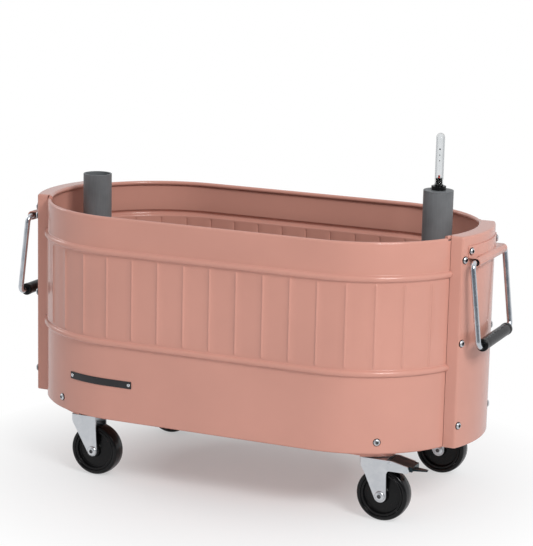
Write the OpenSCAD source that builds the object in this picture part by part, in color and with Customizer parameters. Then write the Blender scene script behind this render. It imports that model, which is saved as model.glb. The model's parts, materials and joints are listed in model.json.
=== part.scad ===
// Rolling planter: an oval sheet steel trough on four swivel casters, with a water reservoir.
// Millimetres. +X runs along the trough, -Y is its front, +Z is up.
// The origin is on the floor, under the middle of the trough.

/* [Body] */
// Depth of the body across its two long sides
body_depth = 348; // [320:1:380]
// Length of the straight part of each long side
side_length = 320; // [260:1:380]
// Height of the panels' lower edge above the floor
body_bottom = 102; // [98:0.5:112]
// Height of the rim above the panels' lower edge
body_height = 298; // [270:1:330]
// Thickness of the sheet steel
sheet = 1.2; // [0.8:0.1:1.6]
// Angle of each end curve that a panel covers
panel_wrap = 65.5; // [62:0.5:68]
// Radius of the rolled rim
rim_roll = 3.2; // [2.6:0.1:3.8]

/* [Beads and ribs] */
// Height of the lower bead above the panels' lower edge
lower_bead = 113.5; // [95:0.5:125]
// Distance between the two beads
bead_spacing = 133.5; // [110:0.5:145]
// Outside radius of a bead
bead_radius = 4.7; // [3.8:0.1:5.5]
// Number of ribs on each panel
rib_count = 17; // [9:2:17]
// Distance between neighbouring ribs along the panel
rib_pitch = 40.8; // [34:0.1:42]
// Radius of a rib's round back
rib_radius = 2.6; // [2:0.1:3.2]
// Height of a rib above the panel
rib_height = 1.2; // [0.8:0.1:1.6]
// Gap between a rib's end and the bead beside it
rib_end_gap = 1.6; // [0.8:0.1:5]

/* [End caps] */
// How far a cap's middle stands out past the end curve
cap_projection = 17; // [12:0.5:20]
// Length of a cap's flat return beside the panel
cap_return = 17.7; // [14:0.1:20]
// Radius of the upright edge between a cap's return and its face
cap_corner = 4; // [4:0.1:6]
// Radius of the soft edge round a cap's top
cap_edge = 3; // [2:0.1:3.4]
// Height of a cap's lip above the rim
cap_rise = 3; // [1.5:0.1:5]
// How far a cap reaches below the panels
cap_drop = 1.6; // [0.5:0.1:2.4]
// Width of the flange that turns in under a cap
cap_foot = 8; // [6:0.5:10]
// Distance of a cap's top screws below the rim
cap_screw_drop = 30; // [28:0.5:60]
// Height of a cap's low screws above the panels' lower edge
cap_screw_rise = 31; // [20:0.5:60]
// Distance of a cap screw from the flat return
cap_screw_inset = 5.4; // [5.2:0.1:12]

/* [Fasteners] */
// Head radius of the body's screws
screw_head = 4.8; // [4:0.1:5]
// Head height of the body's screws
screw_head_height = 2.8; // [2:0.1:3.6]
// Size of the hexagonal socket in a screw's head
screw_socket = 2; // [1.6:0.1:2.4]
// Shank radius of the body's screws
screw_shank = 2.4; // [1.8:0.1:2.8]
// Reach of a screw past the last sheet that it holds
screw_reach = 4; // [2:0.5:6]
// Angle of a panel screw round the end curve
panel_screw_angle = 30.6; // [24:0.2:38]
// Height of a panel screw above the panels' lower edge
panel_screw_height = 16; // [12:0.5:20]

/* [Base] */
// How far the base pan shows below the panels
pan_drop = 1.5; // [0.5:0.1:2.4]
// Height of the base pan's upright flange
pan_flange = 27; // [22:1:34]
// Depth of a caster rail below the base pan
rail_depth = 7.5; // [6.5:0.1:9]
// Thickness of a caster rail's sheet
rail_sheet = 2; // [1.5:0.1:2.5]
// Width of a caster rail along the trough
rail_width = 70; // [62:1:84]
// Distance from the body's outside to a rail's end
rail_inset = 14; // [10:0.5:20]
// Width of a rail's end tongue
rail_tongue = 40; // [34:1:46]
// Length of a rail's end tongue
rail_tongue_length = 18; // [12:1:24]

/* [Handles] */
// Thickness of a handle bracket's sheet
bracket_sheet = 1.6; // [1.2:0.1:2]
// Gap between a bracket's end and the cap screw beside it
bracket_end_gap = 0.4; // [0.3:0.1:6]
// Height of a bracket's plate above its curl's top
bracket_plate = 15.5; // [14:0.5:19]
// Distance of a bracket screw from the bracket's end
bracket_screw_inset = 5.6; // [5.2:0.1:12]
// Distance from the lip's top down to a bail's hinge line
hinge_drop = 36; // [33:0.5:42]
// How far the hinge line stands off a cap's middle
hinge_out = 0.4; // [0.2:0.1:2]
// How far the curl's middle stands out past the hinge line
curl_shift = 1; // [0.6:0.1:1.4]
// Radius of the bail wire
wire_radius = 4; // [3:0.1:4.4]
// Gap between the bail wire and the curl above it
wire_gap = 1.1; // [0.8:0.1:1.4]
// Distance from a bracket's end to the middle of the bail's leg
bail_leg_gap = 12.1; // [9:0.1:16]
// Distance from the hinge line to the grip's middle
bail_drop = 117.5; // [95:0.5:130]
// Radius of the bends in the bail, at the wire's middle
bail_bend = 9; // [7:0.5:10]
// Angle at which the bails lean out
bail_lean = 6.7; // [5:0.1:10]
// Radius of a grip
grip_radius = 9; // [7.5:0.1:9.5]
// Distance from a grip's end to the middle of the bail's leg
grip_end_gap = 15.7; // [12:0.1:30]

/* [Casters] */
// Distance from the body's end to the swivel axes
caster_end = 106; // [98:0.5:120]
// Distance from the body's side to the swivel axes
caster_side = 49.5; // [46:0.5:58]
// Radius of a wheel
wheel_radius = 38.4; // [35:0.1:38.8]
// Width of a tyre
tyre_width = 25; // [20:0.5:26]
// Depth of a tyre from its tread to the wheel core
tyre_depth = 6.5; // [5:0.1:8]
// Width of a wheel's hub
hub_width = 29; // [27:0.1:29.4]
// Distance from the swivel axis to the wheel's axle
caster_trail = 24.7; // [20:0.1:27]
// Radius of an axle bolt
axle_radius = 4; // [3:0.1:4.5]
// Distance between a fork's legs
fork_gap = 30; // [30:0.1:33]
// Thickness of a fork's sheet
fork_sheet = 2.5; // [2:0.1:3]
// Radius of the round upright edges at a fork's front
fork_corner = 5; // [4:0.1:6]
// Radius of a plain fork's leg round its axle
fork_foot = 7.8; // [7:0.1:9]
// Distance from the swivel axis to a plain fork's front
fork_front = 11; // [10:0.1:13]
// Distance from the swivel axis to the rear of a plain fork's crown
fork_rear = 29.7; // [27:0.1:31]
// Height of the ball race between a rail and a fork
race_height = 1.6; // [1.3:0.1:2]
// Radius of the ball race
race_radius = 12.5; // [11:0.1:14]
// Radius of a kingpin
kingpin_radius = 4.5; // [3.5:0.1:5]
// Height of a kingpin's nut
nut_height = 4; // [3:0.1:4.5]

/* [Brakes] */
// Radius of a braked fork's leg round its axle
brake_foot = 9; // [8:0.1:10]
// Distance from the swivel axis to a braked fork's front
brake_front = 8; // [8:0.1:11]
// Distance from the swivel axis to a brake's pivot
brake_pivot = 36.8; // [35:0.1:38]
// Depth of a brake's pivot below the fork's top
brake_depth = 5.7; // [5.5:0.1:7]
// Distance from the swivel axis to the end of a fork's brake arm
brake_arm = 66.5; // [60:0.5:68]
// Distance from the swivel axis to a pedal's tip
pedal_reach = 88; // [82:0.5:94]
// Width of a pedal's foot tab
pedal_tab = 16; // [12:0.5:24]
// Gap between the brake shoe and the tyre with the brake off
shoe_gap = 3; // [2.8:0.1:3.6]

/* [Reservoir] */
// Distance between the reservoir tray and the body's outside
tray_inset = 9; // [7:0.5:14]
// Height of the reservoir tray
tray_height = 62; // [50:1:75]
// Thickness of the plastic walls
plastic = 2.5; // [2:0.1:3.2]
// Radius of a wick cup
cup_radius = 28; // [22:0.5:32]
// Width of the rim that hangs a wick cup on the separator
cup_rim = 4; // [3:0.5:6]
// Outside radius of the fill and gauge pipes
pipe_radius = 21.5; // [18:0.1:23]
// Distance from the body's end to a pipe's middle
pipe_end = 61; // [50:1:75]
// Height of the fill pipe's mouth above the rim
fill_rise = 30; // [15:1:45]
// Height of the gauge pipe's top above the rim
gauge_rise = 53; // [30:1:65]

/* [Gauge] */
// Outside radius of the clear tube
tube_radius = 6.1; // [5.4:0.1:7]
// Wall of the clear tube
tube_wall = 1.2; // [1:0.1:1.4]
// Length of the clear tube
tube_length = 75; // [66:1:90]
// Radius of the collar's flange
collar_radius = 10.5; // [9:0.1:12]
// Height of the collar's flange
collar_height = 6; // [4:0.1:8]
// Radius of the float
float_radius = 16; // [12:0.5:16.5]
// Height of the float
float_height = 24; // [18:1:30]
// Radius of the float's rod
rod_radius = 1.5; // [1.2:0.1:1.8]

/* [Name plate] */
// Length of the bare name plate round the panel
name_plate_length = 108; // [80:1:120]
// Height of the name plate
name_plate_height = 10.5; // [8:0.5:14]
// Distance of the name plate's middle above the panels' lower edge
name_plate_rise = 55; // [40:0.5:70]
// Distance along the panel from its middle to the name plate's near end
name_plate_start = 122; // [110:1:140]

/* [Hidden] */
$fn = 96;

paint = [0.80, 0.53, 0.46];
zinc = [0.74, 0.77, 0.79];
chrome = [0.80, 0.83, 0.85];
black = [0.06, 0.06, 0.06];
grey = [0.36, 0.38, 0.38];
clear = [0.85, 0.92, 0.95, 0.5];

// Clearances
seat = 0.2;      // between fixed sheets that lap
run = 0.06;      // round a shaft that turns in its hole
hole = 0.25;     // round a screw in its hole
clear_gap = 0.3; // between pieces that move past each other
past = 1;        // how far a cut runs past a face

// Body
half_side = side_length / 2;
body_r = body_depth / 2;
rim_z = body_bottom + body_height;
inner_r = body_r - sheet;
lap_r = inner_r - seat;
roll_gap_angle = 1.6;
bead_sink = 0.2;
dome_step = 0.1;
bead_z = [body_bottom + lower_bead, body_bottom + lower_bead + bead_spacing];
lap_angle = 6;

// Caps
joint_x = half_side + body_r * sin(panel_wrap);
joint_y = body_r * cos(panel_wrap);
crease_x = joint_x + cap_return;
tip_x = half_side + body_r + cap_projection;
face_sag = tip_x - crease_x;
face_r = (face_sag * face_sag + joint_y * joint_y) / (2 * face_sag);
face_x = tip_x - face_r;
blend = 0.08;
lip_lap = 0.5;
corner_y = joint_y - cap_corner;
corner_x = face_x + sqrt(pow(face_r - cap_corner, 2) - corner_y * corner_y);
corner_angle = asin(corner_y / (face_r - cap_corner));
lip_z = rim_z + cap_rise;
cap_z = body_bottom - cap_drop;
cap_screw_angle = asin((joint_y - cap_screw_inset) / face_r);
cap_screw_low = body_bottom + cap_screw_rise;
cap_screw_high = rim_z - cap_screw_drop;
cap_screw_z = [cap_screw_low, (cap_screw_low + cap_screw_high) / 2, cap_screw_high];
roll_top_angle = 90 - panel_wrap + roll_gap_angle - 0.2;

// Distance from a point on a cap's face, at an angle, in to the end wall's outside
function face_gap(angle) = let (
    px = face_x + face_r * cos(angle) - half_side,
    py = face_r * sin(angle),
    along = px * cos(angle) + py * sin(angle))
  along - sqrt(along * along - (px * px + py * py - lap_r * lap_r));

// Base
pan_z = body_bottom - pan_drop;
pan_floor_z = pan_z + sheet;
pan_top_z = pan_z + pan_flange;
rail_z = pan_z - rail_depth;
panel_screw_z = body_bottom + panel_screw_height;
tongue_shift = rail_width / 2 - rail_tongue / 2;

// Handles
curl_in = wire_radius + wire_gap;
curl_out = curl_in + bracket_sheet;
hinge_x = tip_x + hinge_out;
curl_x = hinge_x + curl_shift;
hinge_z = lip_z - hinge_drop;
shelf_z = hinge_z + curl_out;
shelf_step = 0.1;
shelf_lap = 0.4;
shelf_low = hinge_z + curl_in + shelf_step;
plate_top_z = shelf_z + bracket_plate;
bracket_back = face_r + seat;
curl_lip = 0.8 * curl_in;
curl_hook = curl_x - tip_x - clear_gap;
bracket_half = joint_y - cap_screw_inset - screw_head - bracket_end_gap;
bracket_screw_angle = asin((bracket_half - bracket_screw_inset) / face_r);
bracket_screw_z = shelf_z + bracket_plate / 2;
bracket_corner = 3;
bail_half = bracket_half + bail_leg_gap;
grip_half = bail_half - grip_end_gap;
stub_gap = 1;
stub_y = sqrt(pow(face_r, 2) - pow(hinge_x - wire_radius - stub_gap - face_x, 2));

// Casters
caster_x = half_side + body_r - caster_end;
caster_y = body_r - caster_side;
crown_z = rail_z - race_height;
leg_out = fork_gap / 2 + fork_sheet;
kingpin_head = kingpin_radius + 3;
kingpin_head_height = 2.4;
kingpin_tip = 0.6;
axle_head = 7.2;
axle_head_height = 3;
rim_r = wheel_radius - tyre_depth;
tyre_round = 3;
shoulder_drop = 21;
shoulder_step = 8.5;
brake_z = crown_z - brake_depth;
brake_pin_radius = 2;
pedal_boss = 4;
crown_end = brake_pivot - pedal_boss - clear_gap;
arm_low = crown_z - 15;
arm_end = 4;
arm_slope = 5.5;
shoe_r = 2.6;
shoe_x = caster_trail + wheel_radius / 2;
shoe_z = wheel_radius + sqrt(pow(wheel_radius + shoe_gap + shoe_r, 2) - pow(shoe_x - caster_trail, 2));
pedal_half = fork_gap / 2 - 0.6;
pedal_sheet = 2;
pedal_start = brake_pivot - 1.6;
pedal_stop = pedal_reach - 18;
pedal_start_z = brake_z + 5.4;
pedal_stop_z = brake_z - 0.6;
pedal_side_height = 6.5;
corners = [[-1, -1], [1, -1], [-1, 1], [1, 1]];

// Reservoir and gauge
tray_r = body_r - tray_inset;
tray_top_z = pan_floor_z + tray_height;
separator_top_z = tray_top_z + plastic;
pipe_x = half_side + body_r - pipe_end;
pipe_in = pipe_radius - plastic;
tray_floor_z = pan_floor_z + plastic;
fill_top_z = rim_z + fill_rise;
gauge_top_z = rim_z + gauge_rise;
cup_x = [-0.55 * side_length / 2, 0.55 * side_length / 2];
cup_y = 62;
cup_low = tray_floor_z + clear_gap;
cup_rim_z = separator_top_z + seat;
air_hole = 4;
air_pitch = 44;
pipe_slot = 8;
collar_neck = tube_radius - tube_wall - 0.1;
collar_neck_height = 11;
collar_bore = rod_radius + clear_gap;
collar_stem = 6.5;
tube_z = gauge_top_z + collar_height;
float_z = tray_floor_z + clear_gap;
rod_top_z = tube_z + collar_neck_height + 4;

// Shapes shared by several pieces

module stadium(radius) {
  square([side_length, 2 * radius], center = true);
  for (side = [-1, 1])
    translate([side * half_side, 0]) circle(radius);
}

module stadium_solid(radius, low, high) {
  translate([0, 0, low]) linear_extrude(high - low) stadium(radius);
}

// Sweeps a profile (distance from the middle line, height) along one long side and its two end curves
module along_side(angle) {
  translate([half_side, 0, 0]) rotate([90, 0, -90]) linear_extrude(side_length) children();
  for (side = [0, 1])
    mirror([side, 0, 0]) translate([half_side, 0, 0]) rotate([0, 0, -90])
      rotate_extrude(angle = angle) children();
}

// Puts a piece on the front side at a distance along the panel from its middle
module on_panel(along) {
  side = sign(along);
  turn = max(0, abs(along) - half_side) / body_r * 180 / PI;
  straight = min(abs(along), half_side);
  translate([side * straight, 0, 0]) rotate([0, 0, side * turn]) children();
}

// Turns a piece drawn along +X to stand on a cap's face at an angle
module on_face(angle, radius = face_r) {
  translate([face_x, 0, 0]) rotate([0, 0, angle]) translate([radius, 0, 0]) children();
}

// A screw whose head stands outwards along +X and whose shank runs inwards
module screw(length) {
  rotate([0, 90, 0]) difference() {
    union() {
      translate([0, 0, -length]) cylinder(r = screw_shank, h = length + screw_head_height / 2);
      intersection() {
        cylinder(r = screw_head, h = screw_head_height);
        translate([0, 0, screw_head_height - 1.6 * screw_head]) sphere(1.6 * screw_head);
      }
    }
    translate([0, 0, screw_head_height / 3]) cylinder(r = screw_socket, h = screw_head_height, $fn = 6);
  }
}

module screw_hole(length) {
  rotate([0, 90, 0]) translate([0, 0, -length]) cylinder(r = screw_shank + hole, h = length + past);
}

// Panels

module panel_profile() {
  difference() {
    union() {
      translate([inner_r, body_bottom]) square([sheet, body_height - rim_roll]);
      intersection() {
        roll_profile(rim_z);
        translate([inner_r, body_bottom]) square([sheet, body_height]);
      }
      intersection() {
        for (z = bead_z)
          translate([body_r - bead_sink, z]) circle(bead_radius);
        translate([inner_r, body_bottom]) square([2 * bead_radius, body_height]);
      }
    }
    for (z = bead_z)
      translate([body_r - bead_sink, z]) circle(bead_radius - sheet);
  }
}

module roll_profile(top) {
  translate([body_r - rim_roll, top - rim_roll]) circle(rim_roll);
}

// Round ends of the beads, which reach a little way over the caps
module bead_domes() {
  for (side = [0, 1], z = bead_z)
    mirror([side, 0, 0]) translate([half_side, 0, z]) difference() {
      rotate([0, 0, panel_wrap - 90]) translate([body_r - bead_sink, 0, 0]) sphere(bead_radius - dome_step);
      translate([0, 0, -bead_radius]) cylinder(r = inner_r, h = 2 * bead_radius);
    }
}

module ribs() {
  low = bead_z[0] + bead_radius + rib_end_gap;
  high = bead_z[1] - bead_radius - rib_end_gap;
  difference() {
    for (k = [-(rib_count - 1) / 2 : (rib_count - 1) / 2])
      on_panel(k * rib_pitch)
        translate([0, -(body_r + rib_height - rib_radius), low]) cylinder(r = rib_radius, h = high - low);
    stadium_solid(body_r - sheet / 2, low - past, high + past);
  }
}

module panel() {
  color(paint) difference() {
    union() {
      along_side(panel_wrap) panel_profile();
      along_side(panel_wrap - roll_gap_angle) roll_profile(rim_z);
      bead_domes();
      ribs();
    }
    panel_screw_holes();
  }
}

module at_panel_screws() {
  for (side = [0, 1])
    mirror([side, 0, 0]) translate([half_side, 0, panel_screw_z])
      rotate([0, 0, panel_screw_angle - 90]) translate([body_r, 0, 0]) children();
}

module panel_screw_holes() {
  at_panel_screws() screw_hole(3 * sheet);
}

module front_panel() {
  panel();
}

module back_panel() {
  rotate([0, 0, 180]) panel();
}

// End caps, drawn for the right end

module cap_plan(inset) {
  intersection() {
    translate([face_x, 0]) circle(face_r - inset);
    translate([joint_x, inset - joint_y]) square([corner_x - joint_x, 2 * (joint_y - inset)]);
  }
  intersection() {
    translate([face_x, 0]) circle(face_r - inset);
    polygon([
      [face_x, 0],
      [face_x + 2 * face_r * cos(corner_angle), -2 * face_r * sin(corner_angle)],
      [face_x + 2 * face_r * cos(corner_angle), 2 * face_r * sin(corner_angle)]]);
    translate([joint_x, -joint_y]) square([tip_x, 2 * joint_y]);
  }
  for (side = [-1, 1])
    translate([corner_x, side * corner_y]) circle(cap_corner - inset);
}

// Section through a cap's wall: 0 is its outside, with the soft edge at the top
module cap_wall_profile(grow) {
  translate([-sheet - grow, cap_z]) square([sheet + 2 * grow, lip_z - cap_edge - cap_z]);
  translate([-cap_edge - lip_lap, lip_z - sheet - grow]) square([lip_lap, sheet + 2 * grow]);
  translate([-cap_edge, lip_z - cap_edge]) intersection() {
    difference() {
      circle(cap_edge + grow);
      circle(cap_edge - sheet - grow);
    }
    square(cap_edge + grow);
  }
}

module cap_wall() {
  lap = 4;
  translate([face_x, 0, 0]) rotate([0, 0, -corner_angle]) rotate_extrude(angle = 2 * corner_angle)
    translate([face_r, 0]) cap_wall_profile(0);
  for (side = [0, 1])
    mirror([0, side, 0]) {
      translate([corner_x, -corner_y, 0]) rotate([0, 0, -90 - lap])
        rotate_extrude(angle = 90 - corner_angle + 2 * lap)
          translate([cap_corner, 0]) cap_wall_profile(blend);
      translate([corner_x, -joint_y, 0]) rotate([90, 0, -90])
        linear_extrude(corner_x - joint_x - seat) cap_wall_profile(0);
    }
}

module cap_lip() {
  translate([0, 0, lip_z - sheet]) linear_extrude(sheet) difference() {
    cap_plan(cap_edge);
    translate([half_side, 0]) circle(lap_r - rim_roll);
  }
  translate([half_side, 0, 0]) rotate([0, 0, -roll_top_angle]) rotate_extrude(angle = 2 * roll_top_angle)
    translate([-sheet - seat, 0]) roll_profile(lip_z - blend);
}

module cap_foot_flange() {
  translate([0, 0, cap_z]) linear_extrude(sheet) difference() {
    cap_plan(0);
    intersection() {
      translate([face_x, 0]) circle(face_r - cap_foot);
      square([4 * tip_x, 2 * (joint_y - cap_foot)], center = true);
    }
    translate([half_side, 0]) circle(body_r);
  }
}

module end_cap() {
  color(paint) difference() {
    union() {
      cap_wall();
      cap_lip();
      cap_foot_flange();
    }
    for (angle = [-1, 1] * cap_screw_angle, z = cap_screw_z)
      on_face(angle) translate([0, 0, z]) screw_hole(3 * sheet);
    for (angle = [-1, 1] * bracket_screw_angle)
      on_face(angle) translate([0, 0, bracket_screw_z]) screw_hole(3 * sheet);
    for (side = [0, 1], z = bead_z)
      mirror([0, side, 0]) translate([half_side, 0, 0]) rotate([0, 0, panel_wrap - 90])
        translate([body_r - bead_sink, 0, z]) sphere(bead_radius + seat);
  }
}

module end_wall() {
  span = 90 - panel_wrap + lap_angle;
  color(paint) difference() {
    translate([half_side, 0, 0]) rotate([0, 0, -span]) rotate_extrude(angle = 2 * span)
      translate([lap_r - sheet, pan_top_z + seat])
        square([sheet, lip_z - 2 * rim_roll - 2 * seat - pan_top_z]);
    for (side = [0, 1])
      mirror([0, side, 0]) translate([half_side, 0, 0]) rotate([0, 0, panel_wrap - 90 - 2 * lap_angle])
        rotate_extrude(angle = 2 * lap_angle + 0.5)
          translate([lap_r - 2 * sheet, rim_z - 2 * rim_roll - seat]) square(3 * sheet + lip_z - rim_z);
    for (angle = [-1, 1] * cap_screw_angle, z = cap_screw_z)
      on_face(angle) translate([0, 0, z]) screw_hole(face_gap(angle) + 3 * sheet);
  }
}

module cap_screws() {
  color(zinc) for (angle = [-1, 1] * cap_screw_angle, z = cap_screw_z)
    on_face(angle) translate([0, 0, z]) screw(face_gap(angle) + sheet + screw_reach);
}

module to_left() {
  rotate([0, 0, 180]) children();
}

module left_end_cap() {
  to_left() end_cap();
}

module right_end_cap() {
  end_cap();
}

module left_end_wall() {
  to_left() end_wall();
}

module right_end_wall() {
  end_wall();
}

module left_cap_screws() {
  to_left() cap_screws();
}

module right_cap_screws() {
  cap_screws();
}

module panel_screws() {
  color(zinc) for (turn = [0, 180])
    rotate([0, 0, turn]) at_panel_screws() screw(2 * sheet + seat + screw_reach);
}

// Base

module base_pan() {
  color(paint) difference() {
    stadium_solid(lap_r, pan_z, pan_top_z);
    stadium_solid(lap_r - sheet, pan_floor_z, pan_top_z + past);
    for (turn = [0, 180])
      rotate([0, 0, turn]) panel_screw_holes();
  }
}

// Outline of a rail, drawn in by a distance, with narrow tongues at its ends
module rail_plan(inset) {
  intersection() {
    stadium(body_r - rail_inset - inset);
    translate([caster_x, 0]) union() {
      square([rail_width - 2 * inset, 2 * (body_r - rail_inset - rail_tongue_length)], center = true);
      translate([tongue_shift, 0])
        square([rail_tongue - 2 * inset, 2 * body_r], center = true);
    }
  }
}

module caster_rail() {
  color(paint) difference() {
    translate([0, 0, rail_z]) linear_extrude(pan_z - rail_z) rail_plan(0);
    translate([0, 0, rail_z + rail_sheet]) linear_extrude(pan_z - rail_z) rail_plan(rail_sheet);
    for (y = [-1, 1] * caster_y)
      translate([caster_x, y, rail_z - past]) cylinder(r = kingpin_radius + hole, h = rail_depth);
  }
}

module left_caster_rail() {
  to_left() caster_rail();
}

module right_caster_rail() {
  caster_rail();
}

// Handles, drawn for the right end

module handle_bracket() {
  color(paint) difference() {
    union() {
      bracket_plate_shape();
      bracket_shelf();
      bracket_curl();
    }
    for (angle = [-1, 1] * bracket_screw_angle)
      on_face(angle, bracket_back + bracket_sheet) translate([0, 0, bracket_screw_z])
        screw_hole(2 * bracket_sheet);
  }
}

module bracket_plate_shape() {
  intersection() {
    translate([face_x, 0, 0]) rotate([0, 0, -corner_angle]) rotate_extrude(angle = 2 * corner_angle)
      translate([bracket_back, shelf_low]) square([bracket_sheet, plate_top_z + past - shelf_low]);
    rotate([90, 0, 90]) linear_extrude(2 * tip_x) bracket_front_view();
  }
}

// The plate seen from the end, with its two top corners rounded
module bracket_front_view() {
  inner = bracket_half - bracket_corner;
  translate([-bracket_half, 0]) square([2 * bracket_half, plate_top_z - bracket_corner]);
  translate([-inner, 0]) square([2 * inner, plate_top_z]);
  for (side = [-1, 1])
    translate([side * inner, plate_top_z - bracket_corner]) circle(bracket_corner);
}

module bracket_shelf() {
  translate([0, 0, shelf_low]) linear_extrude(shelf_z - shelf_step - shelf_low) difference() {
    translate([joint_x, -bracket_half]) square([curl_x + shelf_lap - joint_x, 2 * bracket_half]);
    translate([face_x, 0]) circle(bracket_back + bracket_sheet / 2);
  }
}

module bracket_curl() {
  translate([curl_x, 0, hinge_z]) rotate([90, 0, 0]) difference() {
    cylinder(r = curl_out, h = 2 * bracket_half, center = true);
    cylinder(r = curl_in, h = 2 * bracket_half + 2 * past, center = true);
    translate([-2 * curl_out, -curl_lip, -2 * bracket_half])
      cube([2 * curl_out, 3 * curl_out, 4 * bracket_half]);
    translate([-2 * curl_out - curl_hook, -2 * curl_out, -2 * bracket_half])
      cube([2 * curl_out, 2 * curl_out, 4 * bracket_half]);
  }
}

module bracket_screws() {
  color(zinc) for (angle = [-1, 1] * bracket_screw_angle)
    on_face(angle, bracket_back + bracket_sheet) translate([0, 0, bracket_screw_z])
      screw(bracket_sheet + seat + sheet + screw_reach);
}

// Places a bail or grip, drawn hanging straight down from the origin, on the hinge line
module on_hinge() {
  translate([hinge_x, 0, hinge_z]) rotate([0, -bail_lean, 0]) children();
}

// The wire's two upper ends turn in and stop short of where the cap's face bulges
module bail() {
  half = bail_half - bail_bend;
  color(chrome) on_hinge() {
    for (side = [0, 1])
      mirror([0, side, 0]) {
        translate([0, half, 0]) rotate([90, 0, 0]) cylinder(r = wire_radius, h = half - stub_y);
        translate([0, half, -bail_drop]) rotate([90, 0, 0]) cylinder(r = wire_radius, h = half);
        translate([0, bail_half, bail_bend - bail_drop])
          cylinder(r = wire_radius, h = bail_drop - 2 * bail_bend);
        for (low = [0, 1])
          translate([0, half, low ? bail_bend - bail_drop : -bail_bend]) mirror([0, 0, low])
            rotate([90, 0, 90]) rotate_extrude(angle = 90) translate([bail_bend, 0]) circle(wire_radius);
      }
  }
}

module grip() {
  color(black) on_hinge() translate([0, 0, -bail_drop]) rotate([90, 0, 0]) rotate_extrude()
    grip_profile();
}

module grip_profile() {
  soft = 1.5;
  difference() {
    union() {
      translate([0, -grip_half + soft]) square([grip_radius, 2 * (grip_half - soft)]);
      translate([0, -grip_half]) square([grip_radius - soft, 2 * grip_half]);
      for (end = [-1, 1])
        translate([grip_radius - soft, end * (grip_half - soft)]) circle(soft);
    }
    translate([0, -grip_half - past]) square([wire_radius + run, 2 * (grip_half + past)]);
  }
}

module left_handle_bracket() {
  to_left() handle_bracket();
}

module right_handle_bracket() {
  handle_bracket();
}

module left_bracket_screws() {
  to_left() bracket_screws();
}

module right_bracket_screws() {
  bracket_screws();
}

module left_bail() {
  to_left() bail();
}

module right_bail() {
  bail();
}

module left_grip() {
  to_left() grip();
}

module right_grip() {
  grip();
}

// Name plate, wrapped round the front panel's left end curve

name_plate_r = body_r + seat;
name_plate_sheet = 0.8;
name_plate_z = body_bottom + name_plate_rise;
name_plate_turn = max(0, name_plate_start + name_plate_length - half_side) / body_r * 180 / PI;
rivet_r = 1.7;
rivet_inset = 4;

module name_plate() {
  color(black) difference() {
    union() {
      mirror([1, 0, 0]) translate([half_side, 0, 0]) {
        rotate([90, 0, -90]) linear_extrude(half_side - name_plate_start) name_plate_section();
        rotate([0, 0, -90]) rotate_extrude(angle = name_plate_turn) name_plate_section();
      }
    }
    at_rivets() rotate([90, 0, 0]) cylinder(r = rivet_r + run, h = 8 * name_plate_sheet, center = true);
  }
}

module name_plate_section() {
  translate([name_plate_r, name_plate_z - name_plate_height / 2])
    square([name_plate_sheet, name_plate_height]);
}

module at_rivets() {
  for (along = [name_plate_start + rivet_inset, name_plate_start + name_plate_length - rivet_inset])
    on_panel(-along) translate([0, -body_r, name_plate_z]) children();
}

module name_plate_rivets() {
  shank = seat + name_plate_sheet;
  color(zinc) at_rivets() rotate([90, 0, 0]) {
    cylinder(r = rivet_r, h = shank);
    translate([0, 0, shank]) intersection() {
      cylinder(r = 1.5 * rivet_r, h = rivet_r);
      translate([0, 0, -rivet_r]) sphere(2 * rivet_r);
    }
  }
}

// Reservoir

module at_cups() {
  for (x = cup_x, y = [-cup_y, cup_y])
    translate([x, y, 0]) children();
}

module reservoir_tray() {
  color(black) difference() {
    stadium_solid(tray_r, pan_floor_z, tray_top_z);
    stadium_solid(tray_r - plastic, tray_floor_z, tray_top_z + past);
  }
}

// The perforated floor that carries the soil
module separator_plate() {
  color(black) difference() {
    stadium_solid(tray_r, tray_top_z, separator_top_z);
    at_cups() translate([0, 0, tray_top_z - past]) cylinder(r = cup_radius + seat, h = plastic + 2 * past);
    for (x = [-pipe_x, pipe_x])
      translate([x, 0, tray_top_z - past])
        cylinder(r = pipe_radius + clear_gap, h = plastic + 2 * past);
    for (k = [-5:5])
      translate([k * air_pitch, 0, tray_top_z - past]) cylinder(r = air_hole, h = plastic + 2 * past);
  }
}

// Cups that hang through the separator and carry soil down into the water
module wick_cups() {
  color(black) at_cups() difference() {
    union() {
      translate([0, 0, cup_low]) cylinder(r = cup_radius, h = cup_rim_z + plastic - cup_low);
      translate([0, 0, cup_rim_z]) cylinder(r = cup_radius + cup_rim, h = plastic);
    }
    translate([0, 0, cup_low + plastic]) cylinder(r = cup_radius - plastic, h = cup_rim_z - cup_low + past);
    for (turn = [0, 60, 120])
      rotate([0, 0, turn]) translate([0, 0, cup_low + 3 * plastic + pipe_slot])
        cube([2 * cup_radius + past, pipe_slot, 2 * pipe_slot], center = true);
  }
}

module pipe(low, high) {
  difference() {
    translate([0, 0, low]) cylinder(r = pipe_radius, h = high - low);
    translate([0, 0, low - past]) cylinder(r = pipe_in, h = high - low + 2 * past);
    for (turn = [0, 90])
      rotate([0, 0, turn]) translate([0, 0, low])
        cube([2 * pipe_radius + past, pipe_slot, 2 * pipe_slot], center = true);
  }
}

module fill_pipe() {
  color(grey) translate([-pipe_x, 0, 0]) pipe(tray_floor_z, fill_top_z);
}

module gauge_pipe() {
  color(grey) translate([pipe_x, 0, 0]) pipe(tray_floor_z, gauge_top_z - plastic);
}

module gauge_pipe_cap() {
  color(grey) translate([pipe_x, 0, gauge_top_z - plastic]) difference() {
    union() {
      cylinder(r = pipe_radius, h = plastic);
      translate([0, 0, -3 * plastic]) cylinder(r = pipe_in - seat, h = 4 * plastic);
    }
    translate([0, 0, -3 * plastic - past]) cylinder(r = pipe_in - plastic, h = 3 * plastic + past);
    translate([0, 0, -past]) cylinder(r = collar_stem + seat, h = plastic + 2 * past);
  }
}

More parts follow.
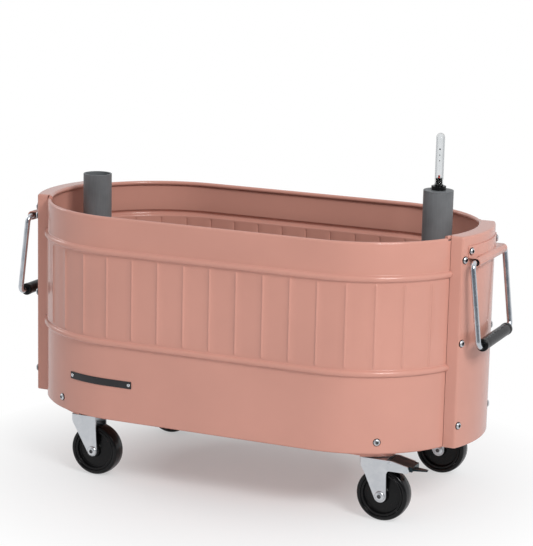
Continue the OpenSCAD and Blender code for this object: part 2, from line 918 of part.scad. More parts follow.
module gauge_collar() {
  stem = 3 * plastic;
  color(black) translate([pipe_x, 0, gauge_top_z]) difference() {
    union() {
      cylinder(r = collar_radius, h = collar_height);
      translate([0, 0, -stem]) cylinder(r = collar_stem, h = stem + past);
      translate([0, 0, collar_height - past]) cylinder(r = collar_neck, h = collar_neck_height + past);
    }
    translate([0, 0, -stem - past])
      cylinder(r = collar_bore, h = stem + collar_height + collar_neck_height + 2 * past);
  }
}

module gauge_tube() {
  color(clear) translate([pipe_x, 0, tube_z]) difference() {
    union() {
      cylinder(r = tube_radius, h = tube_length - tube_radius / 2);
      translate([0, 0, tube_length - tube_radius / 2]) scale_dome(tube_radius);
    }
    translate([0, 0, -past]) cylinder(r = tube_radius - tube_wall, h = tube_length - tube_radius / 2 + past);
  }
}

// A low round top, half as high as its radius
module scale_dome(radius) {
  dome = radius * 1.25;
  intersection() {
    cylinder(r = radius, h = radius);
    translate([0, 0, radius / 2 - dome]) sphere(dome);
  }
}

module gauge_float() {
  color(paint) translate([pipe_x, 0, 0]) {
    translate([0, 0, float_z]) cylinder(r = float_radius, h = float_height);
    translate([0, 0, float_z + float_height - past])
      cylinder(r = rod_radius, h = rod_top_z - float_z - float_height + past);
  }
}

// Casters, drawn round their swivel axis with the wheel trailing towards +X

module at_caster(k) {
  translate([corners[k][0] * caster_x, corners[k][1] * caster_y, 0]) children();
}

module race() {
  color(zinc) difference() {
    translate([0, 0, crown_z + clear_gap]) cylinder(r = race_radius, h = race_height - clear_gap);
    translate([0, 0, crown_z - past]) cylinder(r = kingpin_radius + run, h = race_height + 2 * past);
  }
}

module kingpin() {
  low = crown_z - fork_sheet - clear_gap;
  color(zinc) {
    translate([0, 0, low - kingpin_head_height]) cylinder(r = kingpin_head, h = kingpin_head_height);
    translate([0, 0, low - past])
      cylinder(r = kingpin_radius, h = rail_z + rail_sheet + nut_height + kingpin_tip + past - low);
  }
}

// Nuts on the kingpins, inside the rails
module kingpin_nuts() {
  color(zinc) for (k = [0:3])
    at_caster(k) translate([0, 0, rail_z + rail_sheet]) difference() {
      cylinder(r = 1.8 * kingpin_radius, h = nut_height, $fn = 6);
      translate([0, 0, -past]) cylinder(r = kingpin_radius + run, h = nut_height + 2 * past);
    }
}

// Point where a line from p touches the circle at c, on its left (side 1) or right (side -1)
function touch(p, c, r, side) = let (
    d = norm(c - p),
    to_c = atan2(c[1] - p[1], c[0] - p[0]),
    open = asin(r / d))
  p + sqrt(d * d - r * r) * [cos(to_c - side * open), sin(to_c - side * open)];

// A fork seen from its side
module leg_plan(front, rear, foot, braked) {
  axle = [caster_trail, wheel_radius];
  shoulder = [shoulder_step - front, crown_z - shoulder_drop];
  translate(axle) circle(foot);
  polygon([
    [-front - past, crown_z], [-front - past, crown_z - 2 * fork_sheet], shoulder,
    touch(shoulder, axle, foot, 1), axle, touch([rear, crown_z], axle, foot, -1), [rear, crown_z]]);
  if (braked) {
    edge = caster_trail + foot;
    translate([edge - foot, arm_low]) square([brake_arm - arm_end - edge + foot, 2 * arm_end]);
    polygon([
      [edge - foot, crown_z], [edge - foot, arm_low + arm_end], [brake_arm, arm_low + arm_end],
      [brake_arm - arm_end / 2, crown_z - arm_slope], [brake_pivot + pedal_boss, crown_z]]);
    translate([brake_arm - arm_end, arm_low + arm_end]) circle(arm_end);
    translate([edge - past, arm_low - arm_end]) difference() {
      square(arm_end + past);
      translate([arm_end + past, 0]) circle(arm_end);
    }
  }
}

// A fork seen from above: its outline up to an end, drawn in by a distance
module fork_plan(front, end, inset) {
  round_x = fork_corner - front;
  round_y = leg_out - fork_corner;
  translate([round_x, inset - leg_out]) square([end - round_x, 2 * (leg_out - inset)]);
  translate([inset - front, -round_y]) square([fork_corner, 2 * round_y]);
  for (side = [-1, 1])
    translate([round_x, side * round_y]) circle(fork_corner - inset);
}

module fork(front, rear, foot, braked) {
  wall_end = braked ? brake_arm + past : caster_trail + 2 * foot;
  color(zinc) difference() {
    union() {
      translate([0, 0, crown_z - fork_sheet]) linear_extrude(fork_sheet)
        fork_plan(front, braked ? crown_end : rear, 0);
      intersection() {
        linear_extrude(crown_z) difference() {
          fork_plan(front, wall_end, 0);
          fork_plan(front, wall_end + past, fork_sheet);
          translate([-front - past, fork_corner - leg_out])
            square([fork_corner + past, 2 * (leg_out - fork_corner)]);
        }
        rotate([90, 0, 0]) linear_extrude(2 * leg_out + 2 * past, center = true)
          leg_plan(front, rear, foot, braked);
      }
    }
    translate([caster_trail, 0, wheel_radius]) rotate([90, 0, 0])
      cylinder(r = axle_radius + run, h = 2 * leg_out + 2 * past, center = true);
    translate([0, 0, crown_z - fork_sheet - past])
      cylinder(r = kingpin_radius + run, h = fork_sheet + 2 * past);
    if (braked)
      translate([brake_pivot, 0, brake_z]) rotate([90, 0, 0])
        cylinder(r = brake_pin_radius + run, h = 2 * leg_out + 2 * past, center = true);
  }
}

module plain_fork() {
  fork(fork_front, fork_rear, fork_foot, false);
}

module brake_fork() {
  fork(brake_front, crown_end, brake_foot, true);
}

module axle() {
  color(zinc) translate([caster_trail, 0, wheel_radius]) rotate([90, 0, 0]) {
    cylinder(r = axle_radius, h = 2 * leg_out + axle_head_height, center = true);
    translate([0, 0, leg_out]) cylinder(r = axle_head, h = axle_head_height);
    translate([0, 0, -leg_out - axle_head_height]) cylinder(r = axle_head, h = axle_head_height, $fn = 6);
  }
}

module wheel_core_profile() {
  boss = 10;
  web = 14;
  translate([axle_radius + run, -hub_width / 2]) square([boss - axle_radius - run, hub_width]);
  translate([boss - past, -web / 2]) square([rim_r - boss, web]);
  translate([rim_r - 5, -tyre_width / 2 + 2]) square([5, tyre_width - 4]);
}

module wheel_core() {
  color(black) translate([caster_trail, 0, wheel_radius]) rotate([90, 0, 0]) rotate_extrude()
    wheel_core_profile();
}

module tyre() {
  half = tyre_width / 2;
  color(black) translate([caster_trail, 0, wheel_radius]) rotate([90, 0, 0]) rotate_extrude() {
    translate([rim_r, -half + tyre_round]) square([tyre_depth, 2 * (half - tyre_round)]);
    translate([rim_r, -half]) square([tyre_depth - tyre_round, 2 * half]);
    for (end = [-1, 1])
      translate([wheel_radius - tyre_round, end * (half - tyre_round)]) circle(tyre_round);
  }
}

// Brake pedal: a channel between the fork's arms, with a shoe under it and a foot tab at its end

module pedal_side() {
  polygon([
    [pedal_start, pedal_start_z], [pedal_stop, pedal_stop_z], [pedal_stop, pedal_stop_z - pedal_side_height],
    [shoe_x + shoe_r, pedal_stop_z - pedal_side_height], [pedal_start, brake_z - pedal_boss]]);
  translate([brake_pivot, brake_z]) circle(pedal_boss);
  translate([shoe_x - shoe_r, shoe_z]) square([2 * shoe_r, brake_z - shoe_z]);
}

module pedal_top() {
  polygon([
    [pedal_start, pedal_start_z], [pedal_stop, pedal_stop_z],
    [pedal_stop, pedal_stop_z - pedal_sheet], [pedal_start, pedal_start_z - pedal_sheet]]);
}

module brake_pedal() {
  low = pedal_stop_z - pedal_side_height;
  color(black) difference() {
    union() {
      for (side = [0, 1])
        mirror([0, side, 0]) translate([0, pedal_half, 0]) rotate([90, 0, 0])
          linear_extrude(pedal_sheet) pedal_side();
      translate([0, pedal_half, 0]) rotate([90, 0, 0]) linear_extrude(2 * pedal_half) pedal_top();
      translate([shoe_x, 0, shoe_z]) rotate([90, 0, 0])
        cylinder(r = shoe_r, h = 2 * pedal_half, center = true);
      translate([pedal_stop - pedal_sheet, -pedal_half, low])
        cube([pedal_sheet, 2 * pedal_half, pedal_side_height]);
      translate([pedal_stop - pedal_sheet, -pedal_tab / 2, low])
        cube([pedal_reach + pedal_sheet - pedal_stop, pedal_tab, pedal_sheet]);
    }
    translate([brake_pivot, 0, brake_z]) rotate([90, 0, 0])
      cylinder(r = brake_pin_radius + run, h = 2 * pedal_half + 2 * past, center = true);
  }
}

module brake_pin() {
  color(zinc) translate([brake_pivot, 0, brake_z]) rotate([90, 0, 0]) {
    cylinder(r = brake_pin_radius, h = 2 * leg_out + 1, center = true);
    for (side = [0, 1])
      mirror([0, 0, side]) translate([0, 0, leg_out]) cylinder(r = 1.5 * brake_pin_radius, h = 1.2);
  }
}

front_panel();
back_panel();
left_end_cap();
right_end_cap();
left_end_wall();
right_end_wall();
base_pan();
left_caster_rail();
right_caster_rail();
left_cap_screws();
right_cap_screws();
panel_screws();
left_handle_bracket();
right_handle_bracket();
left_bracket_screws();
right_bracket_screws();
left_bail();
right_bail();
left_grip();
right_grip();
name_plate();
name_plate_rivets();
reservoir_tray();
separator_plate();
fill_pipe();
gauge_pipe();
gauge_pipe_cap();
gauge_collar();
gauge_tube();
gauge_float();
kingpin_nuts();
wick_cups();
at_caster(0) race();  // front_left_race
at_caster(0) kingpin();  // front_left_kingpin
at_caster(0) plain_fork();  // front_left_fork
at_caster(0) axle();  // front_left_axle
at_caster(0) wheel_core();  // front_left_wheel
at_caster(0) tyre();  // front_left_tyre
at_caster(1) race();  // front_right_race
at_caster(1) kingpin();  // front_right_kingpin
at_caster(1) brake_fork();  // front_right_fork
at_caster(1) axle();  // front_right_axle
at_caster(1) wheel_core();  // front_right_wheel
at_caster(1) tyre();  // front_right_tyre
at_caster(1) brake_pedal();  // front_right_brake_pedal
at_caster(1) brake_pin();  // front_right_brake_pin
at_caster(2) race();  // rear_left_race
at_caster(2) kingpin();  // rear_left_kingpin
at_caster(2) plain_fork();  // rear_left_fork
at_caster(2) axle();  // rear_left_axle
at_caster(2) wheel_core();  // rear_left_wheel
at_caster(2) tyre();  // rear_left_tyre
at_caster(3) race();  // rear_right_race
at_caster(3) kingpin();  // rear_right_kingpin
at_caster(3) brake_fork();  // rear_right_fork
at_caster(3) axle();  // rear_right_axle
at_caster(3) wheel_core();  // rear_right_wheel
at_caster(3) tyre();  // rear_right_tyre
at_caster(3) brake_pedal();  // rear_right_brake_pedal
at_caster(3) brake_pin();  // rear_right_brake_pin
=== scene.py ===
# %% [markdown]
# # A rolling planter, dressed
# The planter is an oval trough of painted sheet steel on four swivel casters. Its solids come from the
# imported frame, in metres, with the floor at z = 0. This script gives them their finish, models the pieces
# whose surface needs softer shapes than the solids have, and lights them as in a plain studio.

# %% Load the frame
import json
import math

import bmesh
import bpy
from mathutils import Matrix, Vector


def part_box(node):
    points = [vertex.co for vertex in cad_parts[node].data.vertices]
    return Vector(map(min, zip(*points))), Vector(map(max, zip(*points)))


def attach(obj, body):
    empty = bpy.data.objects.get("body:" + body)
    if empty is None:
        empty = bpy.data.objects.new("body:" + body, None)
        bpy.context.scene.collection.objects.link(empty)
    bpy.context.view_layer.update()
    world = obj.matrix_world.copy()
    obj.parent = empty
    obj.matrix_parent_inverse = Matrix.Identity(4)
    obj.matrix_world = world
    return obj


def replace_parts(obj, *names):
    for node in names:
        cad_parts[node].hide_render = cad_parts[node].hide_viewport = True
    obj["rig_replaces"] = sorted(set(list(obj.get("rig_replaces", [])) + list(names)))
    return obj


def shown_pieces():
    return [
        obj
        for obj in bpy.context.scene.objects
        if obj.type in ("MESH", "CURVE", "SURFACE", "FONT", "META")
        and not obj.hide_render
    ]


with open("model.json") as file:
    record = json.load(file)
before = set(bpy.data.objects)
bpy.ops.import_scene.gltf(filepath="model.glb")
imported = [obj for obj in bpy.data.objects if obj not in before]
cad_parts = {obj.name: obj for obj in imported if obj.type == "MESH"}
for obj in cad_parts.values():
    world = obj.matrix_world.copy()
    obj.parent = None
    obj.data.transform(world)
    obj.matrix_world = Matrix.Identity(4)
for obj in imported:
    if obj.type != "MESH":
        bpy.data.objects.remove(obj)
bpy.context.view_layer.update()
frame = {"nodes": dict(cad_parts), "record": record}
nodes = frame["nodes"]
MM = 0.001
TURN = 2 * math.pi
print("solids in the frame:", len(nodes))

# %% [markdown]
# ## Camera
# The photograph was taken from about three metres away with a long lens, slightly from the right and from
# above. The camera's place and turn were found by fitting the trough's edges, so they are written as real
# sizes and angles. The lens follows from the picture's width and the fitted focal length in pixels.

# %% Camera
PICTURE_WIDTH = 533
FOCAL_PIXELS = 2019.776
SENSOR_WIDTH = 36
CAMERA_PLACE = Vector((1179.955, -2676.881, 922.962)) * MM
CAMERA_YAW = math.radians(23.594)
CAMERA_PITCH = math.radians(11.944)
CAMERA_ROLL = math.radians(1.31)


def add_camera():
    data = bpy.data.cameras.new("camera")
    data.sensor_fit = "HORIZONTAL"
    data.sensor_width = SENSOR_WIDTH
    data.lens = SENSOR_WIDTH * FOCAL_PIXELS / PICTURE_WIDTH
    camera = bpy.data.objects.new("camera", data)
    bpy.context.scene.collection.objects.link(camera)
    turn = (
        Matrix.Rotation(CAMERA_YAW, 4, "Z")
        @ Matrix.Rotation(math.pi / 2 - CAMERA_PITCH, 4, "X")
        @ Matrix.Rotation(CAMERA_ROLL, 4, "Z")
    )
    camera.matrix_world = Matrix.Translation(CAMERA_PLACE) @ turn
    bpy.context.scene.camera = camera
    return camera


print("lens, mm:", round(add_camera().data.lens, 2))
bpy.context.scene.view_settings.view_transform = "Standard"

# %% [markdown]
# ## Writing shaders as sums
# A finish is mostly arithmetic on a few noise patterns: how rough, how dark, how worn. Nodes can say that,
# but a sum reads better. `Value` wraps one output socket, and each operator adds the Math node it stands
# for. The nodes themselves are added by a `Finish`, which comes next.

# %% Sums of sockets


class Value:
    def __init__(self, finish, socket):
        self.finish = finish
        self.socket = socket

    def maths(self, operation, first, second, clamp=False):
        settings = {"operation": operation, "use_clamp": clamp}
        return self.finish.value("ShaderNodeMath", settings, {0: first, 1: second})

    def __add__(self, other):
        return self.maths("ADD", self, other)

    __radd__ = __add__

    def __sub__(self, other):
        return self.maths("SUBTRACT", self, other)

    def __rsub__(self, other):
        return self.maths("SUBTRACT", other, self)

    def __mul__(self, other):
        return self.maths("MULTIPLY", self, other)

    __rmul__ = __mul__

    def spread(self, low, high):
        """0 at low and below, 1 at high and above, and a straight slope between them."""
        return self.maths("MULTIPLY", self - low, 1 / (high - low), clamp=True)


print("a Value knows:", "+", "-", "*", "spread")

# %% [markdown]
# ## One finish
# `Finish` is one material with its Principled shader, and its method `node` adds any other node to it. Its
# patterns are measured in millimetres, because a grain or a scratch has a real size, so a noise's scale is
# one over that size in metres. They all read the piece's own coordinates, so nothing has to be unwrapped.

# %% One finish


class Finish:
    def __init__(self, name):
        self.material = bpy.data.materials.new(name)
        self.material.use_nodes = True
        self.tree = self.material.node_tree
        self.shader = self.tree.nodes["Principled BSDF"]
        self.place = self.node("ShaderNodeTexCoord", {}, {}).outputs["Object"]

    def node(self, kind, settings, inputs):
        node = self.tree.nodes.new(kind)
        for name, setting in settings.items():
            setattr(node, name, setting)
        for name, source in inputs.items():
            self.feed(node.inputs[name], source)
        return node

    def feed(self, socket, source):
        source = getattr(source, "socket", source)
        if isinstance(source, bpy.types.NodeSocket):
            self.tree.links.new(source, socket)
        else:
            socket.default_value = source

    def value(self, kind, settings, inputs, output=0):
        return Value(self, self.node(kind, settings, inputs).outputs[output])

    def set(self, **sockets):
        for name, source in sockets.items():
            self.feed(self.shader.inputs[name.replace("_", " ")], source)

    def stretched(self, stretch):
        return self.node("ShaderNodeMapping", {}, {"Vector": self.place, "Scale": stretch}).outputs[0]

    def noise(self, size, detail=2, stretch=(1, 1, 1)):
        """Cloudy noise from about 0.3 to 0.7, whose patches are about size millimetres across."""
        inputs = {"Vector": self.stretched(stretch), "Scale": 1 / (size * MM), "Detail": detail}
        return self.value("ShaderNodeTexNoise", {}, inputs)

    def cells(self, size):
        """One random value for each small cell, size millimetres across."""
        inputs = {"Vector": self.place, "Scale": 1 / (size * MM)}
        return self.value("ShaderNodeTexVoronoi", {}, inputs, "Color")

    def height(self):
        return self.value("ShaderNodeSeparateXYZ", {}, {"Vector": self.place}, "Z")

    def marked_share(self, mark="edge"):
        """1 where the modelling marked a rounded edge, or painted shade in a socket or round a head, and 0
        elsewhere.
        """
        return self.value("ShaderNodeAttribute", {"attribute_name": mark}, {}, "Fac")

    def mix(self, share, low, high):
        node = self.node("ShaderNodeMix", {"data_type": "RGBA"}, {})
        for name, source in {"Factor": share, "A": low, "B": high}.items():
            self.feed(next(s for s in node.inputs if s.name == name and s.enabled), source)
        return next(s for s in node.outputs if s.enabled)

    def bump(self, height, depth, strength=1.0, base=None):
        """A Bump node's normal: height goes from 0 to 1 over depth millimetres."""
        inputs = {"Height": height, "Distance": depth * MM, "Strength": strength}
        if base is not None:
            inputs["Normal"] = base
        return self.node("ShaderNodeBump", {}, inputs).outputs[0]


print("patterns of a Finish:", "noise", "cells", "height", "marked_share")

# %% [markdown]
# ## Colours
# Colours are matched on a screen, so they are written as a screen shows them, from 0 to 255. Shaders
# reckon in linear light, and `tone` turns the one into the other. `shade` makes a colour lighter or darker.

# %% Colours
WHITE = (1, 1, 1, 1)


def tone(red, green, blue):
    """A colour as seen on a screen, 0 to 255 each, turned into the linear numbers that shaders use."""
    part = [c / 255 for c in (red, green, blue)]
    return tuple(c / 12.92 if c < 0.04045 else ((c + 0.055) / 1.055) ** 2.4 for c in part) + (1,)


def shade(colour, amount):
    return tuple(c * amount for c in colour[:3]) + (1,)


finishes = {}
print("a screen's middle grey in linear light:", round(tone(128, 128, 128)[0], 3))

# %% [markdown]
# ## Paint
# The trough is sprayed with a gloss dusty coral enamel. Real sprayed paint isn't mirror flat: it has a fine
# orange peel, slow changes of depth over a hand's width, and a thin hazy film of dust near the floor. Edges
# hold less paint and are handled more, so they are a little lighter and rougher. The clear top layer is a
# coat, and its strength is plain, so it is set on the shader's own socket. Pattern sizes and bump depths
# are in millimetres, and the heights between which the dust fades are in metres, as the solids are.

# %% Coral paint
CORAL, CORAL_RUBBED, CORAL_DUSTY = tone(211, 153, 137), tone(216, 168, 152), tone(170, 143, 132)
DUST_FULL, DUST_GONE, DUST_SHARE = 0.098, 0.118, 0.08
CLOUD_SIZE, SPECK_SIZE, RUB_SIZE = 140, 3.2, 9
PEEL_SIZE, PEEL_DEPTH = 2.4, 0.008
WAVE_SIZE, WAVE_DEPTH = 38, 0.05


def coral_paint(name, peel_strength):
    paint = Finish(name)
    cloud = paint.noise(CLOUD_SIZE, 3)
    speck = paint.noise(SPECK_SIZE, 4)
    low_down = 1 - paint.height().spread(DUST_FULL, DUST_GONE)
    dust = low_down * speck.spread(0.45, 0.8) * DUST_SHARE
    edge_wear_and_highlight = paint.marked_share() * paint.noise(RUB_SIZE, 3).spread(0.44, 0.62) * 0.4
    body = paint.mix(cloud.spread(0.3, 0.7), shade(CORAL, 0.955), shade(CORAL, 1.03))
    edged = paint.mix(edge_wear_and_highlight, body, CORAL_RUBBED)
    paint.set(Base_Color=paint.mix(dust, edged, CORAL_DUSTY))
    paint.set(Roughness=0.17 + speck * 0.05 + cloud * 0.05 + edge_wear_and_highlight * 0.25 + dust * 0.5)
    peel = paint.bump(paint.noise(PEEL_SIZE, 1), PEEL_DEPTH, peel_strength)
    paint.set(Normal=paint.bump(paint.noise(WAVE_SIZE, 1), WAVE_DEPTH, peel_strength, peel))
    paint.set(Coat_Weight=0.25, Coat_Roughness=0.04, Specular_IOR_Level=0.3)
    return paint.material


finishes["coral_paint"] = coral_paint("coral_paint", peel_strength=0.5)
finishes["coral_bracket"] = coral_paint("coral_bracket", peel_strength=0.8)
print("coral, linear:", [round(c, 3) for c in CORAL[:3]])

# %% [markdown]
# ## Zinc and chrome
# The forks, races, screws and bolts are zinc plated: a bright, slightly blue metal whose crystals each
# reflect a little differently, with faint drawing marks from the press. The handle wires are smooth bright
# wire with a few long scratches. Both are full metals, so colour and roughness do all the work.

# %% Zinc and chrome


def zinc_plate():
    zinc = Finish("zinc_plate")
    crystal = zinc.cells(5)
    haze = zinc.noise(14, 4)
    drawn = zinc.noise(0.9, 2, (0.08, 1, 1))
    edge_wear_and_highlight = zinc.marked_share() * 0.5
    bright = crystal * 0.2 + haze * 0.8
    plain = zinc.mix(bright.spread(0.2, 0.8), tone(212, 216, 220), tone(234, 236, 238))
    edged = zinc.mix(edge_wear_and_highlight, plain, tone(232, 233, 234))
    # Painted shade: where a socket or an axle head's rim is marked, the zinc is darkened to near black.
    zinc.set(Base_Color=zinc.mix(zinc.marked_share("painted_shade") * 0.85, edged, tone(44, 43, 42)))
    zinc.set(Metallic=1.0 - haze.spread(0.55, 0.75) * 0.08, Specular_IOR_Level=0.5)
    zinc.set(Roughness=0.24 + crystal * 0.03 + haze * 0.12 - edge_wear_and_highlight * 0.1)
    zinc.set(Normal=zinc.bump(drawn, 0.003, 0.3))
    return zinc.material


def chrome_wire():
    wire = Finish("chrome_wire")
    scratch = wire.noise(0.5, 3, (1, 1, 0.03))
    film = wire.noise(17, 3)
    wire.set(Base_Color=wire.mix(film.spread(0.35, 0.7), tone(196, 203, 210), tone(226, 230, 234)))
    wire.set(Metallic=1.0, Specular_IOR_Level=0.5)
    wire.set(Roughness=0.1 + film * 0.12 + scratch.spread(0.55, 0.75) * 0.18)
    wire.set(Normal=wire.bump(scratch, 0.012, 0.4))
    return wire.material


finishes["zinc_plate"] = zinc_plate()
finishes["chrome_wire"] = chrome_wire()
print("metals:", "zinc_plate", "chrome_wire")

# %% [markdown]
# ## Plastics and rubber
# The wheels, grips and pedals are moulded in black, with the fine spark-eroded grain of a mould. Wheels and
# grips have paler edges where they are rubbed; on the pedals the much paler edges are a painted highlight.
# The pedals are glossier and have a cool sheen, so the same recipe gives them a stronger, tinted mirror. The
# tyres are a touch duller and pick up dust on the tread.

# %% Plastics and rubber
PEDAL_SHEEN = (0.5, 0.84, 1, 1)


def moulded(name, colour, edge_wear_and_highlight_colour, rough, grain_size, grain_depth, mirror=0.4, sheen=WHITE):
    plastic = Finish(name)
    grain = plastic.noise(grain_size, 3)
    film = plastic.noise(21, 4)
    # Pale edges: wear on most mouldings, a painted highlight on the pedals.
    edge_wear_and_highlight = plastic.marked_share() * plastic.noise(5, 2).spread(0.4, 0.65) * 0.45
    haze = film.spread(0.35, 0.75)
    body = plastic.mix(haze, colour, shade(colour, 1.25))
    plastic.set(Base_Color=plastic.mix(edge_wear_and_highlight, body, edge_wear_and_highlight_colour))
    plastic.set(Roughness=rough + film * 0.14 + grain * 0.06 + edge_wear_and_highlight * 0.1)
    plastic.set(Normal=plastic.bump(grain, grain_depth, 0.5), Specular_IOR_Level=mirror)
    plastic.set(Specular_Tint=sheen)
    return plastic.material


def rubber():
    tyre = Finish("black_rubber")
    grain = tyre.noise(0.8, 3)
    film = tyre.noise(13, 4)
    dust = (1 - tyre.height().spread(0.0, 0.008)) * film.spread(0.4, 0.6) * 0.3
    body = tyre.mix(film.spread(0.35, 0.7), tone(9, 9, 10), tone(15, 15, 16))
    tyre.set(Base_Color=tyre.mix(dust, body, tone(66, 64, 62)))
    tyre.set(Roughness=0.15 + film * 0.12 + dust * 0.4)
    tyre.set(Normal=tyre.bump(grain, 0.012, 0.5), Specular_IOR_Level=0.28)
    return tyre.material


finishes["black_plastic"] = moulded(
    "black_plastic",
    tone(11, 11, 12),
    tone(48, 48, 50),
    rough=0.16,
    grain_size=0.9,
    grain_depth=0.012,
    mirror=0.26,
)
finishes["pedal_black"] = moulded(
    "pedal_black",
    tone(6, 8, 9),
    # painted highlight: the pedal's edges are made much paler than its black
    tone(150, 156, 160),
    rough=0.2,
    grain_size=4,
    grain_depth=0.004,
    mirror=0.6,
    sheen=PEDAL_SHEEN,
)
finishes["float_plastic"] = moulded(
    "float_plastic",
    tone(150, 44, 32),
    tone(214, 104, 90),
    rough=0.34,
    grain_size=1.4,
    grain_depth=0.02,
)
finishes["plate_enamel"] = moulded(
    "plate_enamel",
    tone(40, 40, 42),
    tone(140, 140, 140),
    rough=0.26,
    grain_size=1.6,
    grain_depth=0.01,
)
finishes["black_rubber"] = rubber()
print("finishes so far:", *finishes)

# %% [markdown]
# ## Pipe and clear tube
# The pipes are grey extruded tube with faint lines along their length, so that noise is stretched upwards.
# The gauge ends in a clear acrylic tube. Its edges look darker than its middle, because more plastic lies
# behind them; that shade is painted into its colour where Layer Weight finds the edges.

# %% Pipe and clear tube


def grey_pipe():
    pipe = Finish("grey_plastic")
    lines = pipe.noise(0.7, 2, (1, 1, 0.02))
    film = pipe.noise(34, 4)
    body = pipe.mix(film.spread(0.3, 0.7), tone(99, 102, 104), tone(116, 119, 121))
    pipe.set(Base_Color=pipe.mix(lines.spread(0.5, 0.75) * 0.4, body, tone(132, 135, 137)))
    pipe.set(Roughness=0.4 + film * 0.12 + lines * 0.08)
    pipe.set(Normal=pipe.bump(lines, 0.03, 0.6), Specular_IOR_Level=0.5)
    return pipe.material


def clear_tube():
    tube = Finish("clear_plastic")
    film = tube.noise(9, 3)
    edge_on = tube.value("ShaderNodeLayerWeight", {}, {"Blend": 0.3}, "Facing")
    clear = tube.mix(film.spread(0.4, 0.7), tone(254, 255, 255), tone(250, 252, 252))
    # Painted shade: where the tube is seen edge-on its colour is darkened to grey.
    tube.set(Base_Color=tube.mix(edge_on.spread(0.08, 0.55) * 0.6, clear, tone(110, 118, 120)))
    tube.set(Roughness=0.02 + film.spread(0.4, 0.8) * 0.05, IOR=1.2, Transmission_Weight=1)
    tube.set(Specular_IOR_Level=0.5)
    return tube.material


finishes["grey_plastic"] = grey_pipe()
finishes["clear_plastic"] = clear_tube()
print("finishes:", len(finishes))

# %% [markdown]
# ## Turning a mesh into a finished piece
# Every piece takes the same last steps. Its faces are made to point outwards. Its curves are shaded
# smoothly, but edges sharper than an angle stay crisp, and so does the open rim of a sheet, because
# Solidify would otherwise smear the shading round it.

# %% Last steps of a piece


def add_piece(shape, name, body, replaced, slot, sharp=32, finish=None):
    bmesh.ops.recalc_face_normals(shape, faces=shape.faces)
    shape.edges.index_update()
    rim = [edge.index for edge in shape.edges if edge.is_boundary]
    mesh = bpy.data.meshes.new(name)
    shape.to_mesh(mesh)
    shape.free()
    mesh.shade_smooth()
    mesh.set_sharp_from_angle(angle=math.radians(sharp))
    for index in rim:
        mesh.edges[index].use_edge_sharp = True
    mesh.materials.append(finishes[finish or slot])
    piece = bpy.data.objects.new(name, mesh)
    bpy.context.scene.collection.objects.link(piece)
    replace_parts(piece, *replaced)
    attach(piece, body)
    return piece


def add_modifier(piece, kind, **settings):
    modifier = piece.modifiers.new(kind.lower(), kind)
    for name, setting in settings.items():
        setattr(modifier, name, setting)


print("a finished piece has:", "faces outwards", "sharp edges", "a finish", "a body")

# %% [markdown]
# ## Drawing sections with a pen
# Sheet metal is a section carried along a path, and a wheel or a screw is a section turned on a lathe, so a
# section comes first. The pen starts with one vertex in the XZ plane and extrudes it: `line` in a straight
# run, `arc` by spinning the tip round a centre.

# %% Pen


class Pen:
    def __init__(self, x, z):
        self.shape = bmesh.new()
        self.tip = self.shape.verts.new(Vector((x, 0, z)) * MM)

    def line(self, x, z, parts=1):
        start, end = self.tip.co.copy(), Vector((x, 0, z)) * MM
        for k in range(parts):
            made = bmesh.ops.extrude_vert_indiv(self.shape, verts=[self.tip])
            self.tip = made["verts"][0]
            bmesh.ops.translate(
                self.shape, vec=start.lerp(end, (k + 1) / parts) - self.tip.co, verts=[self.tip]
            )
        return self

    def arc(self, x, z, angle, steps):
        made = bmesh.ops.spin(
            self.shape,
            geom=[self.tip],
            cent=Vector((x, 0, z)) * MM,
            axis=(0, -1, 0),
            dvec=(0, 0, 0),
            angle=math.radians(angle),
            steps=steps,
            use_duplicate=False,
        )
        self.tip = made["geom_last"][0]
        return self


print("the pen draws:", "line", "arc")

# %% [markdown]
# ## Carrying a section
# `sweep` extrudes the whole drawn line from place to place. A place is a matrix, so the line can move, turn
# or both on its way. `turn_round` spins it about the Z axis, as on a lathe, and merges what then lies double
# on the axis.

# %% Sweep and lathe


def sweep(shape, places):
    """Carries the drawn line through a list of places, and returns the vertices at each of them."""
    edges = list(shape.edges)
    points = list(shape.verts)
    bmesh.ops.transform(shape, matrix=places[0], verts=points)
    columns = [points]
    for before, after in zip(places, places[1:]):
        made = bmesh.ops.extrude_edge_only(shape, edges=edges)["geom"]
        points = [g for g in made if isinstance(g, bmesh.types.BMVert)]
        fresh = set(points)
        edges = [g for g in made if isinstance(g, bmesh.types.BMEdge) and fresh.issuperset(g.verts)]
        bmesh.ops.transform(shape, matrix=after @ before.inverted(), verts=points)
        columns.append(points)
    return columns


def turn_round(shape, steps=64):
    bmesh.ops.spin(
        shape,
        geom=list(shape.verts) + list(shape.edges),
        cent=(0, 0, 0),
        axis=(0, 0, 1),
        dvec=(0, 0, 0),
        angle=TURN,
        steps=steps,
        use_merge=True,
        use_duplicate=False,
    )
    bmesh.ops.remove_doubles(shape, verts=shape.verts, dist=0.001 * MM)


def about_z(angle):
    return Matrix.Rotation(math.radians(angle), 4, "Z")


print("a drawn section can be:", "swept", "turned round")

# %% [markdown]
# ## The trough's sheets
# Each long side is one sheet: it wraps round both ends, has two pressed beads that run right along it, a
# row of upright ribs between them, and a rim rolled inwards. The section is drawn once, with small fillets
# where a bead leaves the flat, and swept along the side. At each rib the columns of vertices are moved out
# a little, which presses the rib through the sheet, and Solidify gives the sheet its thickness.

# %% Section of a side, mm
SHEET = 1.2
BODY_R = 174
BOTTOM, RIM = 102, 400
BEADS = (215.5, 349)
BEAD_R, BEAD_SINK, BEAD_FILLET = 4.7, 0.2, 1.6
BELOW_BEAD = 12
ROLL_R, ROLL_TURN = 3.2, 285
RIB_ENDS = (BEADS[0] + BEAD_R + BEAD_FILLET, BEADS[1] - BEAD_R - BEAD_FILLET)
RIB_FADE = 4


